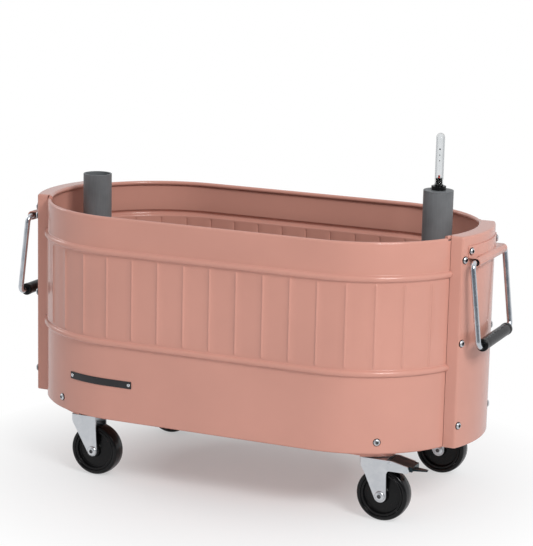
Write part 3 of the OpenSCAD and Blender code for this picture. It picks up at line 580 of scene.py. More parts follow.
def draw_bead(pen, z):
    reach = BEAD_R + BEAD_FILLET
    side = BEAD_FILLET + BEAD_SINK
    rise = math.sqrt(reach**2 - side**2)
    bend = math.degrees(math.atan2(rise, side))
    pen.line(BODY_R, z - rise)
    pen.arc(BODY_R + BEAD_FILLET, z - rise, -bend, 4)
    pen.arc(BODY_R - BEAD_SINK, z, 2 * bend, 12)
    pen.arc(BODY_R + BEAD_FILLET, z + rise, -bend, 4)


def draw_side_section():
    pen = Pen(BODY_R, BOTTOM)
    pen.line(BODY_R, BEADS[0] - BELOW_BEAD, parts=4)
    draw_bead(pen, BEADS[0])
    low, high = RIB_ENDS
    pen.line(BODY_R, low)
    pen.line(BODY_R, low + RIB_FADE, parts=4)
    pen.line(BODY_R, high - RIB_FADE, parts=6)
    pen.line(BODY_R, high, parts=4)
    draw_bead(pen, BEADS[1])
    pen.line(BODY_R, RIM - ROLL_R, parts=3)
    pen.arc(BODY_R - ROLL_R, RIM - ROLL_R, ROLL_TURN, 20)
    return pen.shape


print("sheet height, mm:", RIM - BOTTOM)

# %% [markdown]
# ## Where the section goes
# The section is carried straight along the side and then round half of each end. The places are matrices:
# along the straight they only move, and past it they turn about the end's middle. They stand close together
# where a rib will be pressed, because a rib needs several columns of vertices across it.

# %% Places along a side
HALF_SIDE = 160
WRAP, ROLL_WRAP = 65.5, 63.8
SIDE_END = HALF_SIDE + math.radians(WRAP) * BODY_R
ROLL_END = HALF_SIDE + math.radians(ROLL_WRAP) * BODY_R
RIB_PITCH, RIB_COUNT, RIB_HEIGHT, RIB_HALF = 40.8, 17, 1.5, 2.7


def side_place(along):
    """Where the section stands at a distance along the front from its middle, and which way is out."""
    side = math.copysign(1, along)
    straight = side * min(abs(along), HALF_SIDE)
    turn = side * math.degrees(max(0, abs(along) - HALF_SIDE) / BODY_R)
    return Matrix.Translation((straight * MM, 0, 0)) @ about_z(turn - 90)


def side_stops():
    """Distances along the side: close together at each rib, wider apart between them."""
    stops = {-SIDE_END, -ROLL_END, ROLL_END, SIDE_END, -HALF_SIDE, HALF_SIDE}
    for k in range(RIB_COUNT):
        middle = (k - (RIB_COUNT - 1) / 2) * RIB_PITCH
        stops.update(middle + RIB_HALF * part / 3 for part in range(-3, 4))
        flat = RIB_PITCH - 2 * RIB_HALF
        stops.update(middle + RIB_HALF + flat * part / 4 for part in (1, 2, 3))
    return sorted(s for s in stops if abs(s) <= SIDE_END)


print("columns along a side:", len(side_stops()))

# %% [markdown]
# ## Ribs and the rolled rim
# A rib is a soft ridge: each column near its middle is moved out by a cosine of its distance, and the push
# fades at both ends of the rib. The rolled rim stops a little before the sheet does, where the cover's lip
# takes over, so its last faces are deleted.

# %% Both sides
STOP_SLACK, ROLL_MARGIN = 0.01, 1


def press_ribs(columns, stops):
    low, high = RIB_ENDS
    for points, along in zip(columns, stops):
        nearest = round(along / RIB_PITCH) * RIB_PITCH
        reach = abs(along - nearest) / RIB_HALF
        if reach >= 1:
            continue
        lift = RIB_HEIGHT * (0.5 + 0.5 * math.cos(math.pi * reach))
        out = side_place(along).to_3x3() @ Vector((1, 0, 0))
        for point in points:
            z = point.co.z / MM
            fade = min(1, max(0, min(z - low, high - z) / RIB_FADE))
            point.co += out * (lift * fade * fade * (3 - 2 * fade) * MM)


def past_roll(face, past):
    """Whether a face is part of the rolled rim beyond the place where the roll stops."""
    middle = face.calc_center_median() / MM
    inside = math.hypot(abs(middle.x) - HALF_SIDE, middle.y) < BODY_R - SHEET
    lowest = RIM - 2 * ROLL_R - ROLL_MARGIN if inside else RIM - ROLL_R
    return past.issuperset(face.verts) and middle.z > lowest


def trough_side(name, node, turn):
    shape = draw_side_section()
    stops = side_stops()
    columns = sweep(shape, [side_place(along) for along in stops])
    press_ribs(columns, stops)
    past = {
        point
        for points, along in zip(columns, stops)
        if abs(along) >= ROLL_END - STOP_SLACK
        for point in points
    }
    roll = [face for face in shape.faces if past_roll(face, past)]
    bmesh.ops.delete(shape, geom=roll, context="FACES")
    bmesh.ops.rotate(shape, cent=(0, 0, 0), matrix=about_z(turn).to_3x3(), verts=shape.verts)
    piece = add_piece(shape, name, "planter_body", [node], "coral_paint", sharp=60)
    add_modifier(piece, "SOLIDIFY", thickness=SHEET * MM, offset=-1)
    print(name, "faces", len(piece.data.polygons))
    return piece


trough_side("front_sheet", "front_panel", 0)
trough_side("back_sheet", "back_panel", 180)

# %% [markdown]
# ## Ends of the beads
# A bead stops in a small round end, where the sheet tucks against the end cap.

# %% Bead ends
BEAD_END_DRAW = 0.1


def add_bead_ends():
    shape = bmesh.new()
    for side in (-1, 1):
        for z in BEADS:
            spot = Matrix.Translation(((BODY_R - BEAD_SINK) * MM, 0, z * MM))
            bmesh.ops.create_uvsphere(
                shape,
                u_segments=20,
                v_segments=12,
                radius=(BEAD_R - BEAD_END_DRAW) * MM,
                matrix=side_place(side * SIDE_END) @ spot,
            )
    before = list(shape.verts) + list(shape.edges) + list(shape.faces)
    made = bmesh.ops.duplicate(shape, geom=before)["geom"]
    copied = [g for g in made if isinstance(g, bmesh.types.BMVert)]
    bmesh.ops.rotate(shape, cent=(0, 0, 0), matrix=about_z(180).to_3x3(), verts=copied)
    add_piece(shape, "bead_ends", "planter_body", [], "coral_paint")
    print("bead ends:", 4 * len(BEADS))


add_bead_ends()

# %% [markdown]
# ## End caps
# Each end is closed by a separate cover that stands proud of the sheets: a flat return, a soft upright
# corner, then a face that bulges gently. The face is part of a circle, whose radius follows from how far it
# bulges over its width, so the cover keeps fitting when the trough's sizes change.

# %% Sizes of a cover, mm
JOINT_X = HALF_SIDE + BODY_R * math.sin(math.radians(WRAP))
JOINT_Y = BODY_R * math.cos(math.radians(WRAP))
CAP_RETURN, CAP_PROJECTION, CAP_CORNER = 17.7, 17, 4
CAP_EDGE, CAP_FOOT_EDGE = 3, 1.4
SEAT = 0.2
LIP_Z, CAP_LOW = 403, 100.4
TIP_X = HALF_SIDE + BODY_R + CAP_PROJECTION
SAG = TIP_X - JOINT_X - CAP_RETURN
FACE_R = (SAG**2 + JOINT_Y**2) / (2 * SAG)
FACE_X = TIP_X - FACE_R
CORNER_Y = JOINT_Y - CAP_CORNER
CORNER_ANGLE = math.degrees(math.asin(CORNER_Y / (FACE_R - CAP_CORNER)))
CORNER_X = FACE_X + math.sqrt((FACE_R - CAP_CORNER) ** 2 - CORNER_Y**2)
FLANGE = 8
JOINT_GAP = 0.6
OPENING_GAP, LIP_SINK, LIP_OVERLAP = 0.2, 0.08, 1.4
OPENING_R = BODY_R - ROLL_R - SHEET - OPENING_GAP
print("radius of a bulging face, mm:", round(FACE_R, 1))

# %% [markdown]
# ## Plan of a cover
# The wall is drawn as a section and swept round the cover's plan, so the plan is a list of places: along the
# return, round the corner, along the face, and the same the other way.

# %% Plan of a cover


def cap_places():
    """The wall's places from one joint round to the other. The section's x runs out from the wall."""

    def on_arc(x, y, angle, radius):
        middle = Matrix.Translation((x * MM, y * MM, 0))
        return middle @ about_z(angle) @ Matrix.Translation((radius * MM, 0, 0))

    def steps(start, end, count):
        return [start + (end - start) * k / count for k in range(count + 1)]

    half = [on_arc(x, -CORNER_Y, -90, CAP_CORNER) for x in steps(JOINT_X + JOINT_GAP, CORNER_X, 4)]
    half += [on_arc(CORNER_X, -CORNER_Y, a, CAP_CORNER) for a in steps(-90, -CORNER_ANGLE, 8)[1:]]
    face = [on_arc(FACE_X, 0, a, FACE_R) for a in steps(-CORNER_ANGLE, CORNER_ANGLE, 40)[1:-1]]
    last = [on_arc(CORNER_X, CORNER_Y, a, CAP_CORNER) for a in steps(CORNER_ANGLE, 90, 8)]
    last += [on_arc(x, CORNER_Y, 90, CAP_CORNER) for x in steps(CORNER_X, JOINT_X + JOINT_GAP, 4)[1:]]
    return half + face + last


print("places along a cover:", len(cap_places()))

# %% [markdown]
# ## Lip and flange
# The cover's top edge turns over into a flat lip that narrows to nothing at both sides, and a flange turns
# in below. Both are made from the wall's own edges, which are extruded once more and pulled in towards the
# opening. The lip ends in a roll like the sheets' rim: a ring swept along the opening and closed at its ends.

# %% Lip and flange


def pull_in(shape, points, radius, least):
    """Extrudes the chain of edges on these points and pulls it in towards the end's middle."""
    chain = set(points)
    edges = [e for e in shape.edges if chain.issuperset(e.verts)]
    made = bmesh.ops.extrude_edge_only(shape, edges=edges)["geom"]
    for point in (g for g in made if isinstance(g, bmesh.types.BMVert)):
        middle = Vector((HALF_SIDE * MM, 0, point.co.z))
        away = point.co - middle
        length = min(away.length, max(radius(away.length / MM), least) * MM)
        point.co = middle + away.normalized() * length


def lip_roll():
    """The lip's rolled edge: a round section carried along the opening."""
    span = 90 - WRAP + LIP_OVERLAP
    pen = Pen(OPENING_R + ROLL_R, LIP_Z - LIP_SINK - ROLL_R)
    pen.arc(OPENING_R, LIP_Z - LIP_SINK - ROLL_R, 360, 24)
    bmesh.ops.remove_doubles(pen.shape, verts=pen.shape.verts, dist=0.01 * MM)
    places = [
        Matrix.Translation((HALF_SIDE * MM, 0, 0)) @ about_z(span * k / 12) for k in range(-12, 13)
    ]
    columns = sweep(pen.shape, places)
    for points in (columns[0], columns[-1]):
        chain = set(points)
        edges = [e for e in pen.shape.edges if chain.issuperset(e.verts)]
        bmesh.ops.contextual_create(pen.shape, geom=edges)
    return pen.shape


print("radius of the opening, mm:", round(OPENING_R, 1))

# %% [markdown]
# ## Both covers
# The wall's section has a rounded foot, a straight run and a rounded top. Solidify gives the cover its sheet
# thickness inwards, so the outer face stays where it was drawn. The left cover is the right one turned half
# round.

# %% Both covers


def end_cap(name, node, turn):
    pen = Pen(-CAP_FOOT_EDGE, CAP_LOW)
    pen.arc(-CAP_FOOT_EDGE, CAP_LOW + CAP_FOOT_EDGE, 90, 4)
    pen.line(0, LIP_Z - CAP_EDGE, parts=3)
    pen.arc(-CAP_EDGE, LIP_Z - CAP_EDGE, 90, 6)
    columns = sweep(pen.shape, cap_places())
    shape = pen.shape
    tops = [max(points, key=lambda p: p.co.z) for points in columns]
    feet = [min(points, key=lambda p: p.co.z) for points in columns]
    pull_in(shape, tops, lambda reach: OPENING_R, 0)
    pull_in(shape, feet, lambda reach: reach - FLANGE, BODY_R + SEAT)
    bmesh.ops.remove_doubles(shape, verts=shape.verts, dist=0.005 * MM)
    bmesh.ops.recalc_face_normals(shape, faces=shape.faces)
    bmesh.ops.rotate(shape, cent=(0, 0, 0), matrix=about_z(turn).to_3x3(), verts=shape.verts)
    piece = add_piece(shape, name, "planter_body", [node], "coral_paint", sharp=50)
    add_modifier(piece, "SOLIDIFY", thickness=SHEET * MM, offset=-1)
    roll = lip_roll()
    bmesh.ops.rotate(roll, cent=(0, 0, 0), matrix=about_z(turn).to_3x3(), verts=roll.verts)
    add_piece(roll, name + "_roll", "planter_body", [], "coral_paint", sharp=60)
    print(name, "faces", len(piece.data.polygons))


end_cap("right_cover", "right_end_cap", 0)
end_cap("left_cover", "left_end_cap", 180)

# %% [markdown]
# ## Wheels
# The wheels are solid black ones about three inches across: a hard core with a dished disc, and a tyre
# moulded round it whose edges are rounded, with a groove where the two meet. The solids give the places, so
# a wheel is turned at the origin and then laid on its axle. Half a section is enough, because both sides of
# a wheel are alike.

# %% Sizes and places of wheels
WHEEL_R, TYRE_BORE, CORE_R = 38.4, 31.5, 31.2
AXLE_BORE, HUB_R, HUB_HALF = 4.1, 8.6, 14.5
CORNERS = ("front_left", "front_right", "rear_left", "rear_right")
WHEEL_PARTS = ("wheel", "tyre")


def middle_of(node):
    low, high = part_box(node)
    return (low + high) / 2


def to_axle(node):
    """Carries a shape turned round Z to lie on a caster's axle, which runs along Y."""
    return Matrix.Translation(middle_of(node)) @ Matrix.Rotation(math.pi / 2, 4, "X")


def mirror_up(shape):
    """Completes a half section that was drawn above the XY plane."""
    bmesh.ops.mirror(
        shape, geom=list(shape.verts) + list(shape.edges), axis="Z", merge_dist=0.001 * MM
    )


print("wheel, mm across:", 2 * WHEEL_R)

# %% [markdown]
# ## Turned wheels
# The numbers of a turned section are millimetres: first the distance from the axle's line, then the distance
# from the wheel's middle. A run with a small arc at its end is an edge that a mould leaves round.

# %% Wheels and tyres


def turned_core():
    """From the axle's bore out: the hub, the dished disc, and the band under the tyre."""
    pen = Pen(AXLE_BORE, 0)
    pen.line(AXLE_BORE, HUB_HALF)
    pen.line(HUB_R, HUB_HALF).arc(HUB_R, HUB_HALF - 1.2, -90, 4)
    pen.line(10.2, 9.4).arc(12.2, 9.4, 78, 4)
    pen.line(25.2, 6.2, parts=2).arc(25.5, 7.8, 66, 5)
    pen.line(27.6, 10.4).arc(28.5, 10.0, -66, 4)
    pen.line(30.2, 11.1).arc(30.2, 10.1, -90, 4)
    pen.line(CORE_R, 0)
    mirror_up(pen.shape)
    turn_round(pen.shape, 72)
    return pen.shape


def turned_tyre():
    """From its bore out: the side wall, the rounded shoulder, and the slightly crowned tread."""
    pen = Pen(TYRE_BORE, 0)
    pen.line(TYRE_BORE, 10.6)
    pen.arc(32.3, 10.6, -90, 4)
    pen.line(33.2, 11.9).arc(33.2, 7.0, -26, 3)
    pen.arc(34.2, 8.2, -64, 8)
    pen.line(WHEEL_R, 0, parts=3)
    mirror_up(pen.shape)
    turn_round(pen.shape, 96)
    return pen.shape


for corner in CORNERS:
    for part in WHEEL_PARTS:
        node = f"{corner}_{part}"
        shape = turned_tyre() if part == "tyre" else turned_core()
        slot = "black_rubber" if part == "tyre" else "black_plastic"
        bmesh.ops.transform(shape, matrix=to_axle(f"{corner}_tyre"), verts=shape.verts)
        add_piece(shape, f"{corner}_turned_{part}", f"{corner}_wheel", [node], slot)
print("wheels:", len(CORNERS))

# %% [markdown]
# ## Button-head screws
# The covers, sheets and brackets are held by button-head screws with a hexagon socket. Each head sits on a
# dark washer, a dark ring put round its foot as painted shade, and its socket is darkened as painted shade.
# From a few metres the dark ring and the dark socket are what make a screw read as a screw, so both are
# modelled. The head is turned on a lathe with a round hole in its top. The hole's edge is then drawn in to a
# hexagon and extruded down, which makes the socket. The profile is kept in shares of the head's radius and
# height, with the number of parts of each run, so that heads of other sizes can use it too.

# %% Button heads
SCREW_HEAD, SCREW_HIGH, SCREW_SOCKET = 4.6, 2.8, 2.1
SCREW_SHANK, SCREW_DEEP = 2.4, 9
FOOT_EDGE = 0.25
BUTTON_PROFILE = ((1, 0.28, 1), (0.86, 0.7, 2), (0.66, 0.94, 2))
SOCKET_MOUTH, SOCKET_DEPTH = 1.22, 0.55
WASHER_BORE, WASHER_R, WASHER_HIGH = 2.6, 5.5, 0.7


def hex_reach(angle, flat):
    """Distance from the middle of a hexagon to its edge, at an angle."""
    return flat / math.cos((angle % (TURN / 6)) - TURN / 12)


def sink_socket(shape, socket, depth):
    """Turns a head's round hole into a hexagon and sinks it. The socket is marked for painted shade."""
    rim = [e for e in shape.edges if e.is_boundary]
    painted_shade = shape.verts.layers.float.new("painted_shade")
    for down in (0, depth):
        made = bmesh.ops.extrude_edge_only(shape, edges=rim)["geom"]
        points = [g for g in made if isinstance(g, bmesh.types.BMVert)]
        fresh = set(points)
        rim = [g for g in made if isinstance(g, bmesh.types.BMEdge) and fresh.issuperset(g.verts)]
        for point in points:
            angle = math.atan2(point.co.y, point.co.x)
            reach = hex_reach(angle, socket) * MM
            point.co = Vector((reach * math.cos(angle), reach * math.sin(angle), point.co.z - down * MM))
            point[painted_shade] = 1
    bmesh.ops.contextual_create(shape, geom=rim)


def button(head, high, socket, shank, deep, base):
    """A button head that stands on z = base, with its shank below."""
    pen = Pen(0, -deep)
    pen.line(shank, -deep).line(shank, base)
    pen.line(head - FOOT_EDGE, base).arc(head - FOOT_EDGE, base + FOOT_EDGE, 90, 3)
    for wide, tall, parts in BUTTON_PROFILE:
        pen.line(wide * head, base + tall * (high - base), parts=parts)
    pen.line(socket * SOCKET_MOUTH, high)
    turn_round(pen.shape, 48)
    sink_socket(pen.shape, socket, SOCKET_DEPTH * (high - base))
    return pen.shape


def screw():
    return button(SCREW_HEAD, SCREW_HIGH, SCREW_SOCKET, SCREW_SHANK, SCREW_DEEP, WASHER_HIGH)


# A dark ring under each screw head, put there as painted shade round the head's foot.
def shade_ring():
    pen = Pen(WASHER_BORE, 0)
    pen.line(WASHER_R - 0.1, 0).line(WASHER_R, 0.25).arc(WASHER_R - 0.4, 0.3, 90, 3)
    pen.line(WASHER_BORE, WASHER_HIGH).line(WASHER_BORE, 0)
    turn_round(pen.shape, 40)
    return pen.shape


print("screw head and washer, mm across:", 2 * SCREW_HEAD, 2 * WASHER_R)

# %% [markdown]
# ## Many from one
# One shape is made, moved to its place and joined to the whole, again for each place. All the screws of one
# node become one piece that way.

# %% Many from one


def join(whole, extra):
    """Adds one bmesh to another. A bmesh can only take in a mesh, so it goes through one."""
    mesh = bpy.data.meshes.new("extra")
    extra.to_mesh(mesh)
    extra.free()
    whole.from_mesh(mesh)
    bpy.data.meshes.remove(mesh)


def gather(make, places):
    """Makes one shape at each of several places, as one mesh."""
    whole = bmesh.new()
    for place in places:
        one = make()
        bmesh.ops.transform(one, matrix=place, verts=one.verts)
        join(whole, one)
    return whole


OUTWARDS = Matrix.Rotation(math.pi / 2, 4, "Y")


def on_cap(turn, angle, z, radius):
    """A place on an end's bulging face, with local Z pointing out."""
    out = Matrix.Translation((FACE_X * MM, 0, z * MM)) @ about_z(angle)
    return about_z(turn) @ out @ Matrix.Translation((radius * MM, 0, 0)) @ OUTWARDS


print("front of the right cover, m:", round(on_cap(0, 0, 0, FACE_R).translation.x, 4))

# %% [markdown]
# ## Where the screws sit
# Three screws stand in each column near a cover's edge, two hold each bracket, and one near each caster
# holds the sheet to the rail. A screw's place is a matrix whose Z axis points out of the surface: it is
# reached by going to the middle of the curved face, turning, and going out by the face's radius. Screws of
# one kind are one piece, because they never move apart.

# %% Screws in their places
CAP_SCREW_INSET, CAP_SCREW_Z = 5.4, (133, 251.5, 370)
CAP_SCREW_ANGLE = math.degrees(math.asin((JOINT_Y - CAP_SCREW_INSET) / FACE_R))
SCREW_SEAT, BRACKET_GAP, BRACKET_SCREW_INSET = 4.8, 0.4, 5.6
BRACKET_HALF = JOINT_Y - CAP_SCREW_INSET - SCREW_SEAT - BRACKET_GAP
BRACKET_SCREW_ANGLE = math.degrees(math.asin((BRACKET_HALF - BRACKET_SCREW_INSET) / FACE_R))
HINGE_DROP = 36
HINGE_Z = LIP_Z - HINGE_DROP
WIRE_R, WIRE_GAP, BRACKET_SHEET, BRACKET_PLATE = 4, 1.1, 1.6, 15.5
CURL_IN = WIRE_R + WIRE_GAP
BRACKET_SCREW_Z = HINGE_Z + CURL_IN + BRACKET_SHEET + BRACKET_PLATE / 2
PANEL_SCREW_Z, PANEL_SCREW_ANGLE = BOTTOM + 16, 30.6

screw_places = {
    "panel_screws": [
        about_z(turn)
        @ Matrix.Translation((side * HALF_SIDE * MM, 0, PANEL_SCREW_Z * MM))
        @ about_z(-90 + side * PANEL_SCREW_ANGLE)
        @ Matrix.Translation((BODY_R * MM, 0, 0))
        @ OUTWARDS
        for turn in (0, 180)
        for side in (-1, 1)
    ]
}
for end, turn in (("left", 180), ("right", 0)):
    screw_places[f"{end}_cap_screws"] = [
        on_cap(turn, side * CAP_SCREW_ANGLE, z, FACE_R) for side in (-1, 1) for z in CAP_SCREW_Z
    ]
    screw_places[f"{end}_bracket_screws"] = [
        on_cap(turn, side * BRACKET_SCREW_ANGLE, BRACKET_SCREW_Z, FACE_R + SEAT + BRACKET_SHEET)
        for side in (-1, 1)
    ]
for node, places in screw_places.items():
    add_piece(gather(screw, places), f"{node}_heads", "planter_body", [node], "zinc_plate")
    # Painted shade: a dark ring under each head.
    add_piece(gather(shade_ring, places), f"{node}_shade_rings", "planter_body", [], "black_rubber")
    low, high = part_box(node)
    print(node, len(places), "box middle", [round(c / MM, 1) for c in (low + high) / 2])

# %% [markdown]
# ## Axle bolts
# A caster's axle is a bolt with the same kind of button head, only larger, and a nut on the far end. The
# outermost ring of the head's vertices gets painted shade, which the finish darkens into an outline at
# its foot. The nut is a six-sided cone with equal ends, which is bevelled, as nuts are chamfered.

# %% Axle bolts
AXLE_HEAD, AXLE_HIGH, AXLE_SOCKET = 7.2, 3, 2.6
AXLE_SHAFT, AXLE_END, AXLE_STUB, AXLE_CHAMFER = 4, 3.4, 1.2, 0.6
AXLE_PAINTED_SHADE, RIM_SHARE = 0.8, 0.97
NUT_BEVEL = 0.5


def axle_bolt(half):
    """A shaft along Z with a button head at the top and a hexagon nut at the bottom."""
    under = half - AXLE_HIGH
    whole = button(AXLE_HEAD, half, AXLE_SOCKET, AXLE_SHAFT, 0, under)
    painted_shade = whole.verts.layers.float["painted_shade"]
    # Painted shade: the head's outer rim is marked, so the finish darkens it into a dark outline.
    for point in whole.verts:
        if point.co.xy.length > RIM_SHARE * (AXLE_HEAD - FOOT_EDGE) * MM:
            point[painted_shade] = AXLE_PAINTED_SHADE
    nut = bmesh.new()
    bmesh.ops.create_cone(
        nut,
        cap_ends=True,
        segments=6,
        radius1=AXLE_HEAD * MM,
        radius2=AXLE_HEAD * MM,
        depth=AXLE_HIGH * MM,
    )
    bmesh.ops.translate(nut, vec=(0, 0, (AXLE_HIGH / 2 - half) * MM), verts=nut.verts)
    bmesh.ops.bevel(
        nut,
        geom=list(nut.edges),
        offset=NUT_BEVEL * MM,
        segments=2,
        profile=0.5,
        affect="EDGES",
        material=-1,
    )
    foot = AXLE_STUB - half
    shaft = Pen(0, foot)
    shaft.line(AXLE_END, foot).line(AXLE_SHAFT, foot + AXLE_CHAMFER)
    shaft.line(AXLE_SHAFT, under).line(0, under)
    turn_round(shaft.shape, 48)
    join(whole, nut)
    join(whole, shaft.shape)
    return whole


for corner in CORNERS:
    node = f"{corner}_axle"
    low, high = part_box(node)
    half = (high.y - low.y) / MM / 2
    bolt = axle_bolt(half)
    bmesh.ops.transform(bolt, matrix=to_axle(node), verts=bolt.verts)
    add_piece(bolt, f"{corner}_axle_bolt", f"{corner}_fork", [node], "zinc_plate")
    print(node, "half length", round(half, 2))

# %% [markdown]
# ## Grips
# Each handle is a wire with a black plastic grip that turns on it. The grip has slightly thicker ends than
# middle, so it is turned from a section with two shallow steps.

# %% Grips
BAIL_LEG_GAP, GRIP_END_GAP = 12.1, 15.7
GRIP_HALF = BRACKET_HALF + BAIL_LEG_GAP - GRIP_END_GAP
GRIP_R, GRIP_WAIST, GRIP_BORE = 9, 8.6, WIRE_R + 0.1
GRIP_MOUTH, GRIP_EDGE, GRIP_THICK = 0.6, 1.5, 7.4


def turned_grip():
    pen = Pen(GRIP_BORE, 0)
    pen.line(GRIP_BORE, GRIP_HALF - GRIP_MOUTH).line(GRIP_BORE + GRIP_MOUTH, GRIP_HALF)
    pen.line(GRIP_R - GRIP_EDGE, GRIP_HALF).arc(GRIP_R - GRIP_EDGE, GRIP_HALF - GRIP_EDGE, -90, 6)
    thick_end = GRIP_HALF - GRIP_THICK
    pen.line(GRIP_R, thick_end).arc(GRIP_R - 0.3, thick_end, -70, 3)
    pen.line(GRIP_WAIST - 0.1, thick_end - 0.8).line(GRIP_WAIST, thick_end - 1.6)
    pen.line(GRIP_WAIST, 0, parts=4)
    mirror_up(pen.shape)
    turn_round(pen.shape, 64)
    return pen.shape


print("grip, mm long:", round(2 * GRIP_HALF, 1))

# %% [markdown]
# ## Painted shade in the hinge curls
# Where the bracket curls round the wire, a black liner fills the gap: a dark ring put in the curl's opening
# as painted shade. The wire doesn't lie in the middle of the curl, so the liner is a ring whose hole is a
# little off its middle.

# %% Shade in the hinge curls
CURL_SHIFT, LINER_GAP, LINER_SHORT = 1, 0.04, 1.2
CURL_X = TIP_X + BRACKET_GAP + CURL_SHIFT


def curl_shade_liner(turn):
    """Two circles bridged to a ring that is wider on one side, then drawn out along the hinge."""
    shape = bmesh.new()
    rings = []
    for radius, shift in ((CURL_IN - LINER_GAP, 0), (WIRE_R + LINER_GAP, -CURL_SHIFT)):
        made = bmesh.ops.create_circle(
            shape,
            cap_ends=False,
            radius=radius * MM,
            segments=48,
            matrix=Matrix.Translation((shift * MM, 0, 0)),
        )
        around = set(made["verts"])
        rings.append([e for e in shape.edges if around.issuperset(e.verts)])
    face = bmesh.ops.bridge_loops(shape, edges=rings[0] + rings[1])["faces"]
    made = bmesh.ops.extrude_face_region(shape, geom=face)["geom"]
    top = [g for g in made if isinstance(g, bmesh.types.BMVert)]
    half = BRACKET_HALF - LINER_SHORT
    bmesh.ops.translate(shape, vec=(0, 0, 2 * half * MM), verts=top)
    bmesh.ops.delete(shape, geom=[f for f in face if f.is_valid], context="FACES_ONLY")
    bmesh.ops.holes_fill(shape, edges=[e for e in shape.edges if e.is_boundary], sides=0)
    place = (
        about_z(turn)
        @ Matrix.Translation((CURL_X * MM, half * MM, HINGE_Z * MM))
        @ Matrix.Rotation(math.pi / 2, 4, "X")
    )
    bmesh.ops.transform(shape, matrix=place, verts=shape.verts)
    return shape


for end, turn in (("left", 180), ("right", 0)):
    grip = turned_grip()
    bmesh.ops.transform(grip, matrix=to_axle(f"{end}_grip"), verts=grip.verts)
    add_piece(grip, f"{end}_turned_grip", f"{end}_grip", [f"{end}_grip"], "black_plastic")
    # Painted shade: a black ring fills the curl's opening round the wire.
    add_piece(curl_shade_liner(turn), f"{end}_curl_shade_liner", "planter_body", [], "black_plastic")
print("liner, mm long:", round(2 * (BRACKET_HALF - LINER_SHORT), 1))

# %% [markdown]
# ## Name plate
# A small dark enamelled plate is riveted to the front. It is left bare: only its raised border is there. Its
# face is swept along the sheet, the border is what `inset` leaves round the sunk middle, and Solidify gives
# it its thickness.

# %% Name plate
PLATE_FROM, PLATE_LENGTH, PLATE_Z, PLATE_HALF = 122, 108, 157, 5.25
PLATE_SHEET, PLATE_BORDER, PLATE_SLOPE, PLATE_SINK = 0.75, 0.75, 0.2, 0.22
PLATE_HIGH = 0.8
PLATE_FACE = BODY_R + SEAT + PLATE_HIGH


def name_plate():
    pen = Pen(PLATE_FACE, PLATE_Z - PLATE_HALF)
    pen.line(PLATE_FACE, PLATE_Z + PLATE_HALF)
    stops = [-(PLATE_FROM + PLATE_LENGTH * k / 36) for k in range(37)]
    sweep(pen.shape, [side_place(along) for along in stops])
    shape = pen.shape
    bmesh.ops.recalc_face_normals(shape, faces=shape.faces)
    middle = list(shape.faces)
    for inset, sink in ((PLATE_BORDER, 0), (PLATE_SLOPE, PLATE_SINK)):
        bmesh.ops.inset_region(
            shape,
            faces=middle,
            thickness=inset * MM,
            depth=-sink * MM,
            use_even_offset=True,
            use_boundary=True,
        )
        middle = [f for f in shape.faces if not any(e.is_boundary for e in f.edges)]
    piece = add_piece(shape, "bare_name_plate", "planter_body", ["name_plate"], "plate_enamel", sharp=25)
    add_modifier(piece, "SOLIDIFY", thickness=PLATE_SHEET * MM, offset=-1)
    print("name plate faces", len(piece.data.polygons))


name_plate()

# %% [markdown]
# ## Gauge tube
# The water gauge ends in a clear tube with a domed top, in which the float's rod rises. It is turned from a
# thin double wall, because a clear piece shows its inner wall too. Three dots on it mark low, half and full:
# each is a short disc, set on the side that is turned to the front.

# %% Gauge tube
TUBE_R, TUBE_WALL, TUBE_EDGE = 6.1, 1.2, 0.3
TUBE_DOTS = ((0.702, 1.15), (0.592, 0.8), (0.483, 0.8))
DOT_TURN, DOT_HIGH, DOT_TAPER = -74, 0.5, 0.85


def gauge_tube():
    low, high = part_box("gauge_tube")
    length = (high.z - low.z) / MM
    bore = TUBE_R - TUBE_WALL
    pen = Pen(bore + TUBE_EDGE, 0)
    pen.line(TUBE_R - TUBE_EDGE, 0).line(TUBE_R, TUBE_EDGE)
    pen.line(TUBE_R, length - TUBE_R, parts=6).arc(0, length - TUBE_R, 90, 10)
    pen.line(0, length - TUBE_R + bore).arc(0, length - TUBE_R, -90, 10)
    pen.line(bore, TUBE_EDGE, parts=6).line(bore + TUBE_EDGE, 0)
    turn_round(pen.shape, 48)
    bmesh.ops.remove_doubles(pen.shape, verts=pen.shape.verts, dist=0.01 * MM)
    middle = Vector(((low.x + high.x) / 2, (low.y + high.y) / 2, low.z))
    bmesh.ops.translate(pen.shape, vec=middle, verts=pen.shape.verts)
    add_piece(pen.shape, "gauge_clear_tube", "planter_body", ["gauge_tube"], "clear_plastic", sharp=50)
    for k, (share, radius) in enumerate(TUBE_DOTS):
        dot = bmesh.new()
        bmesh.ops.create_cone(
            dot,
            cap_ends=True,
            segments=24,
            radius1=radius * MM,
            radius2=radius * MM * DOT_TAPER,
            depth=DOT_HIGH * MM,
        )
        place = Matrix.Translation(middle + Vector((0, 0, share * length * MM)))
        out = about_z(DOT_TURN) @ Matrix.Translation((TUBE_R * MM, 0, 0)) @ OUTWARDS
        bmesh.ops.transform(dot, matrix=place @ out, verts=dot.verts)
        add_piece(dot, f"gauge_dot_{k + 1}", "planter_body", [], "black_plastic")
    print("gauge tube, mm:", round(length, 1))


gauge_tube()

# %% [markdown]
# ## Softened solids
# The other solids have the right shape, but their edges are knife sharp, and no pressed or moulded edge is.
# A copy of each is merged, its flat faces are joined up, and the sharp edges get a small bevel. How wide it
# is depends on the material: wider on plastic than on steel. The `edge` attribute is 1 on the bevels' face
# corners and 0 elsewhere, so the finishes can wear the edges, or on the pedals paint a highlight on them,
# and leave the flats alone. The brackets' faces are joined up only where they are almost exactly flat,
# because their curl is made of many narrow ones.

